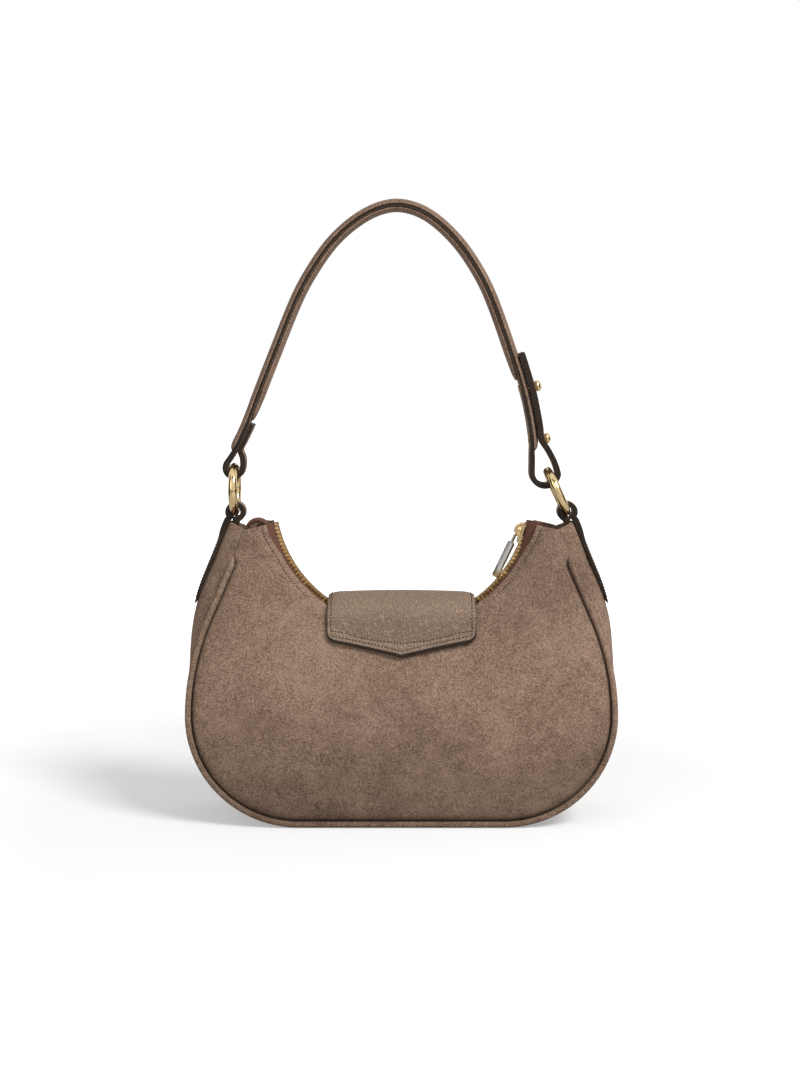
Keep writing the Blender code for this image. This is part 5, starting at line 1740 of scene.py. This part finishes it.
class BAG_OT_stage(bpy.types.Operator):
    """Makes the pale floor, the studio lights and the camera"""

    bl_idname = "bag.stage"
    bl_label = "Stage"

    def facing(self, place, aim):
        return (Vector(aim) - Vector(place)).to_track_quat("-Z", "Y")

    def lamp(self, name, place, aim, size, watts):
        data = bpy.data.lights.new(name, "AREA")
        data.shape = "DISK"
        data.size = size
        data.energy = watts
        lamp = bpy.data.objects.new(name, data)
        lamp.location = place
        lamp.rotation_euler = self.facing(place, aim).to_euler()
        bpy.context.scene.collection.objects.link(lamp)

    def card(self, name, place, width, height):
        """A black card that only reflections show, as beside a photographer's table."""
        sheet = bmesh.new()
        bmesh.ops.create_grid(sheet, x_segments=1, y_segments=1, size=0.5)
        turn = self.facing(place, CARD_AIM).to_matrix().to_4x4()
        size = Matrix.Diagonal((width, height, 1.0, 1.0))
        bmesh.ops.transform(sheet, matrix=Matrix.Translation(place) @ turn @ size, verts=sheet.verts)
        body = from_bulk(name, sheet, [])
        material = bpy.data.materials.get("black_card") or bpy.data.materials.new("black_card")
        material.use_nodes = True
        tree = material.node_tree
        feed(tree, tree.nodes["Principled BSDF"], {"Base Color": (0.01, 0.01, 0.01, 1.0)})
        body.data.materials.append(material)
        for ray in ("camera", "diffuse", "shadow", "transmission"):
            setattr(body, "visible_" + ray, False)

    def white_rays(self, tree):
        """Share of camera rays, and of all the rays that have to see plain white."""
        rays = node(tree, "ShaderNodeLightPath").outputs
        seen = reckoned(tree, "MAXIMUM", rays["Is Camera Ray"], rays["Is Glossy Ray"])
        return rays["Is Camera Ray"], reckoned(tree, "MAXIMUM", seen, rays["Is Transmission Ray"])

    def execute(self, context):
        floor = bmesh.new()
        bmesh.ops.create_grid(floor, x_segments=1, y_segments=1, size=6.0)
        body = from_bulk("floor", floor, [])
        body.location.z = -0.0001
        material = bpy.data.materials.new("pale_floor")
        material.use_nodes = True
        tree = material.node_tree
        tree.nodes.clear()
        matt = node(tree, "ShaderNodeBsdfDiffuse", {"Color": (0.62, 0.62, 0.62, 1.0)})
        camera_ray, _ = self.white_rays(tree)
        place = node(tree, "ShaderNodeTexCoord").outputs["Object"]
        away = node(tree, "ShaderNodeVectorMath", {0: place}, operation="LENGTH").outputs["Value"]
        far = spread(tree, away, 0.22, 0.80, 0.36, 1.0)
        glow = node(tree, "ShaderNodeEmission", {"Color": (1.0, 1.0, 1.0, 1.0),
                    "Strength": times(tree, camera_ray, far)})
        both = node(tree, "ShaderNodeAddShader", {0: matt.outputs[0], 1: glow.outputs[0]})
        node(tree, "ShaderNodeOutputMaterial", {"Surface": both.outputs[0]})
        body.data.materials.append(material)

        world = bpy.data.worlds.new("studio")
        context.scene.world = world
        world.use_nodes = True
        tree = world.node_tree
        tree.nodes.clear()
        _, white = self.white_rays(tree)
        soft = node(tree, "ShaderNodeBackground", {"Color": (1.0, 0.99, 0.98, 1.0), "Strength": 0.42})
        plain = node(tree, "ShaderNodeBackground", {"Color": (1.0, 1.0, 1.0, 1.0), "Strength": 1.0})
        both = node(tree, "ShaderNodeMixShader", {0: white, 1: soft.outputs[0], 2: plain.outputs[0]})
        node(tree, "ShaderNodeOutputWorld", {"Surface": both.outputs[0]})

        self.lamp("key", (1.05, -1.10, 1.65), (0.0, 0.0, 0.12), 0.8, 40.0)
        self.lamp("fill", (-1.30, -1.50, 0.95), (0.0, 0.0, 0.15), 1.4, 8.0)
        for card in CARDS:
            self.card(*card)

        lens = bpy.data.cameras.new("view")
        lens.lens = LENS
        lens.sensor_width = 36.0
        lens.sensor_fit = "AUTO"
        lens.clip_start = 0.02
        eye = bpy.data.objects.new("view", lens)
        eye.location = EYE
        eye.rotation_euler = (EYE_TILT, 0.0, 0.0)
        context.scene.collection.objects.link(eye)
        context.scene.camera = eye
        context.scene.view_settings.view_transform = "Standard"
        return {"FINISHED"}


OPERATORS = (
    BAG_OT_panels, BAG_OT_gusset, BAG_OT_piping, BAG_OT_linings, BAG_OT_zip_tapes, BAG_OT_zip_teeth,
    BAG_OT_slider, BAG_OT_flap, BAG_OT_snap, BAG_OT_side_tabs, BAG_OT_rings, BAG_OT_strap,
    BAG_OT_studs, BAG_OT_stitches, BAG_OT_stage,
)


class BAG_PT_sidebar(bpy.types.Panel):
    """Lists the bag's pieces and their sizes and colours"""

    bl_idname = "BAG_PT_sidebar"
    bl_label = "Shoulder bag"
    bl_space_type = "VIEW_3D"
    bl_region_type = "UI"
    bl_category = "Shoulder bag"

    def draw(self, context):
        for group in (context.scene.bag_sizes, context.scene.bag_colours):
            box = self.layout.box()
            for word in group.bl_rna.properties.keys():
                if word not in {"rna_type", "name"}:
                    box.prop(group, word)
        for operator in OPERATORS:
            self.layout.operator(operator.bl_idname)


def register():
    for group in (BagSizes, BagColours, *OPERATORS, BAG_PT_sidebar):
        bpy.utils.register_class(group)
    bpy.types.Scene.bag_sizes = PointerProperty(type=BagSizes)
    bpy.types.Scene.bag_colours = PointerProperty(type=BagColours)


def unregister():
    del bpy.types.Scene.bag_colours
    del bpy.types.Scene.bag_sizes
    for group in reversed((BagSizes, BagColours, *OPERATORS, BAG_PT_sidebar)):
        bpy.utils.unregister_class(group)


def main():
    register()
    for operator in OPERATORS:
        family, word = operator.bl_idname.split(".")
        getattr(getattr(bpy.ops, family), word)()
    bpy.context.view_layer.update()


if __name__ == "__main__":
    main()
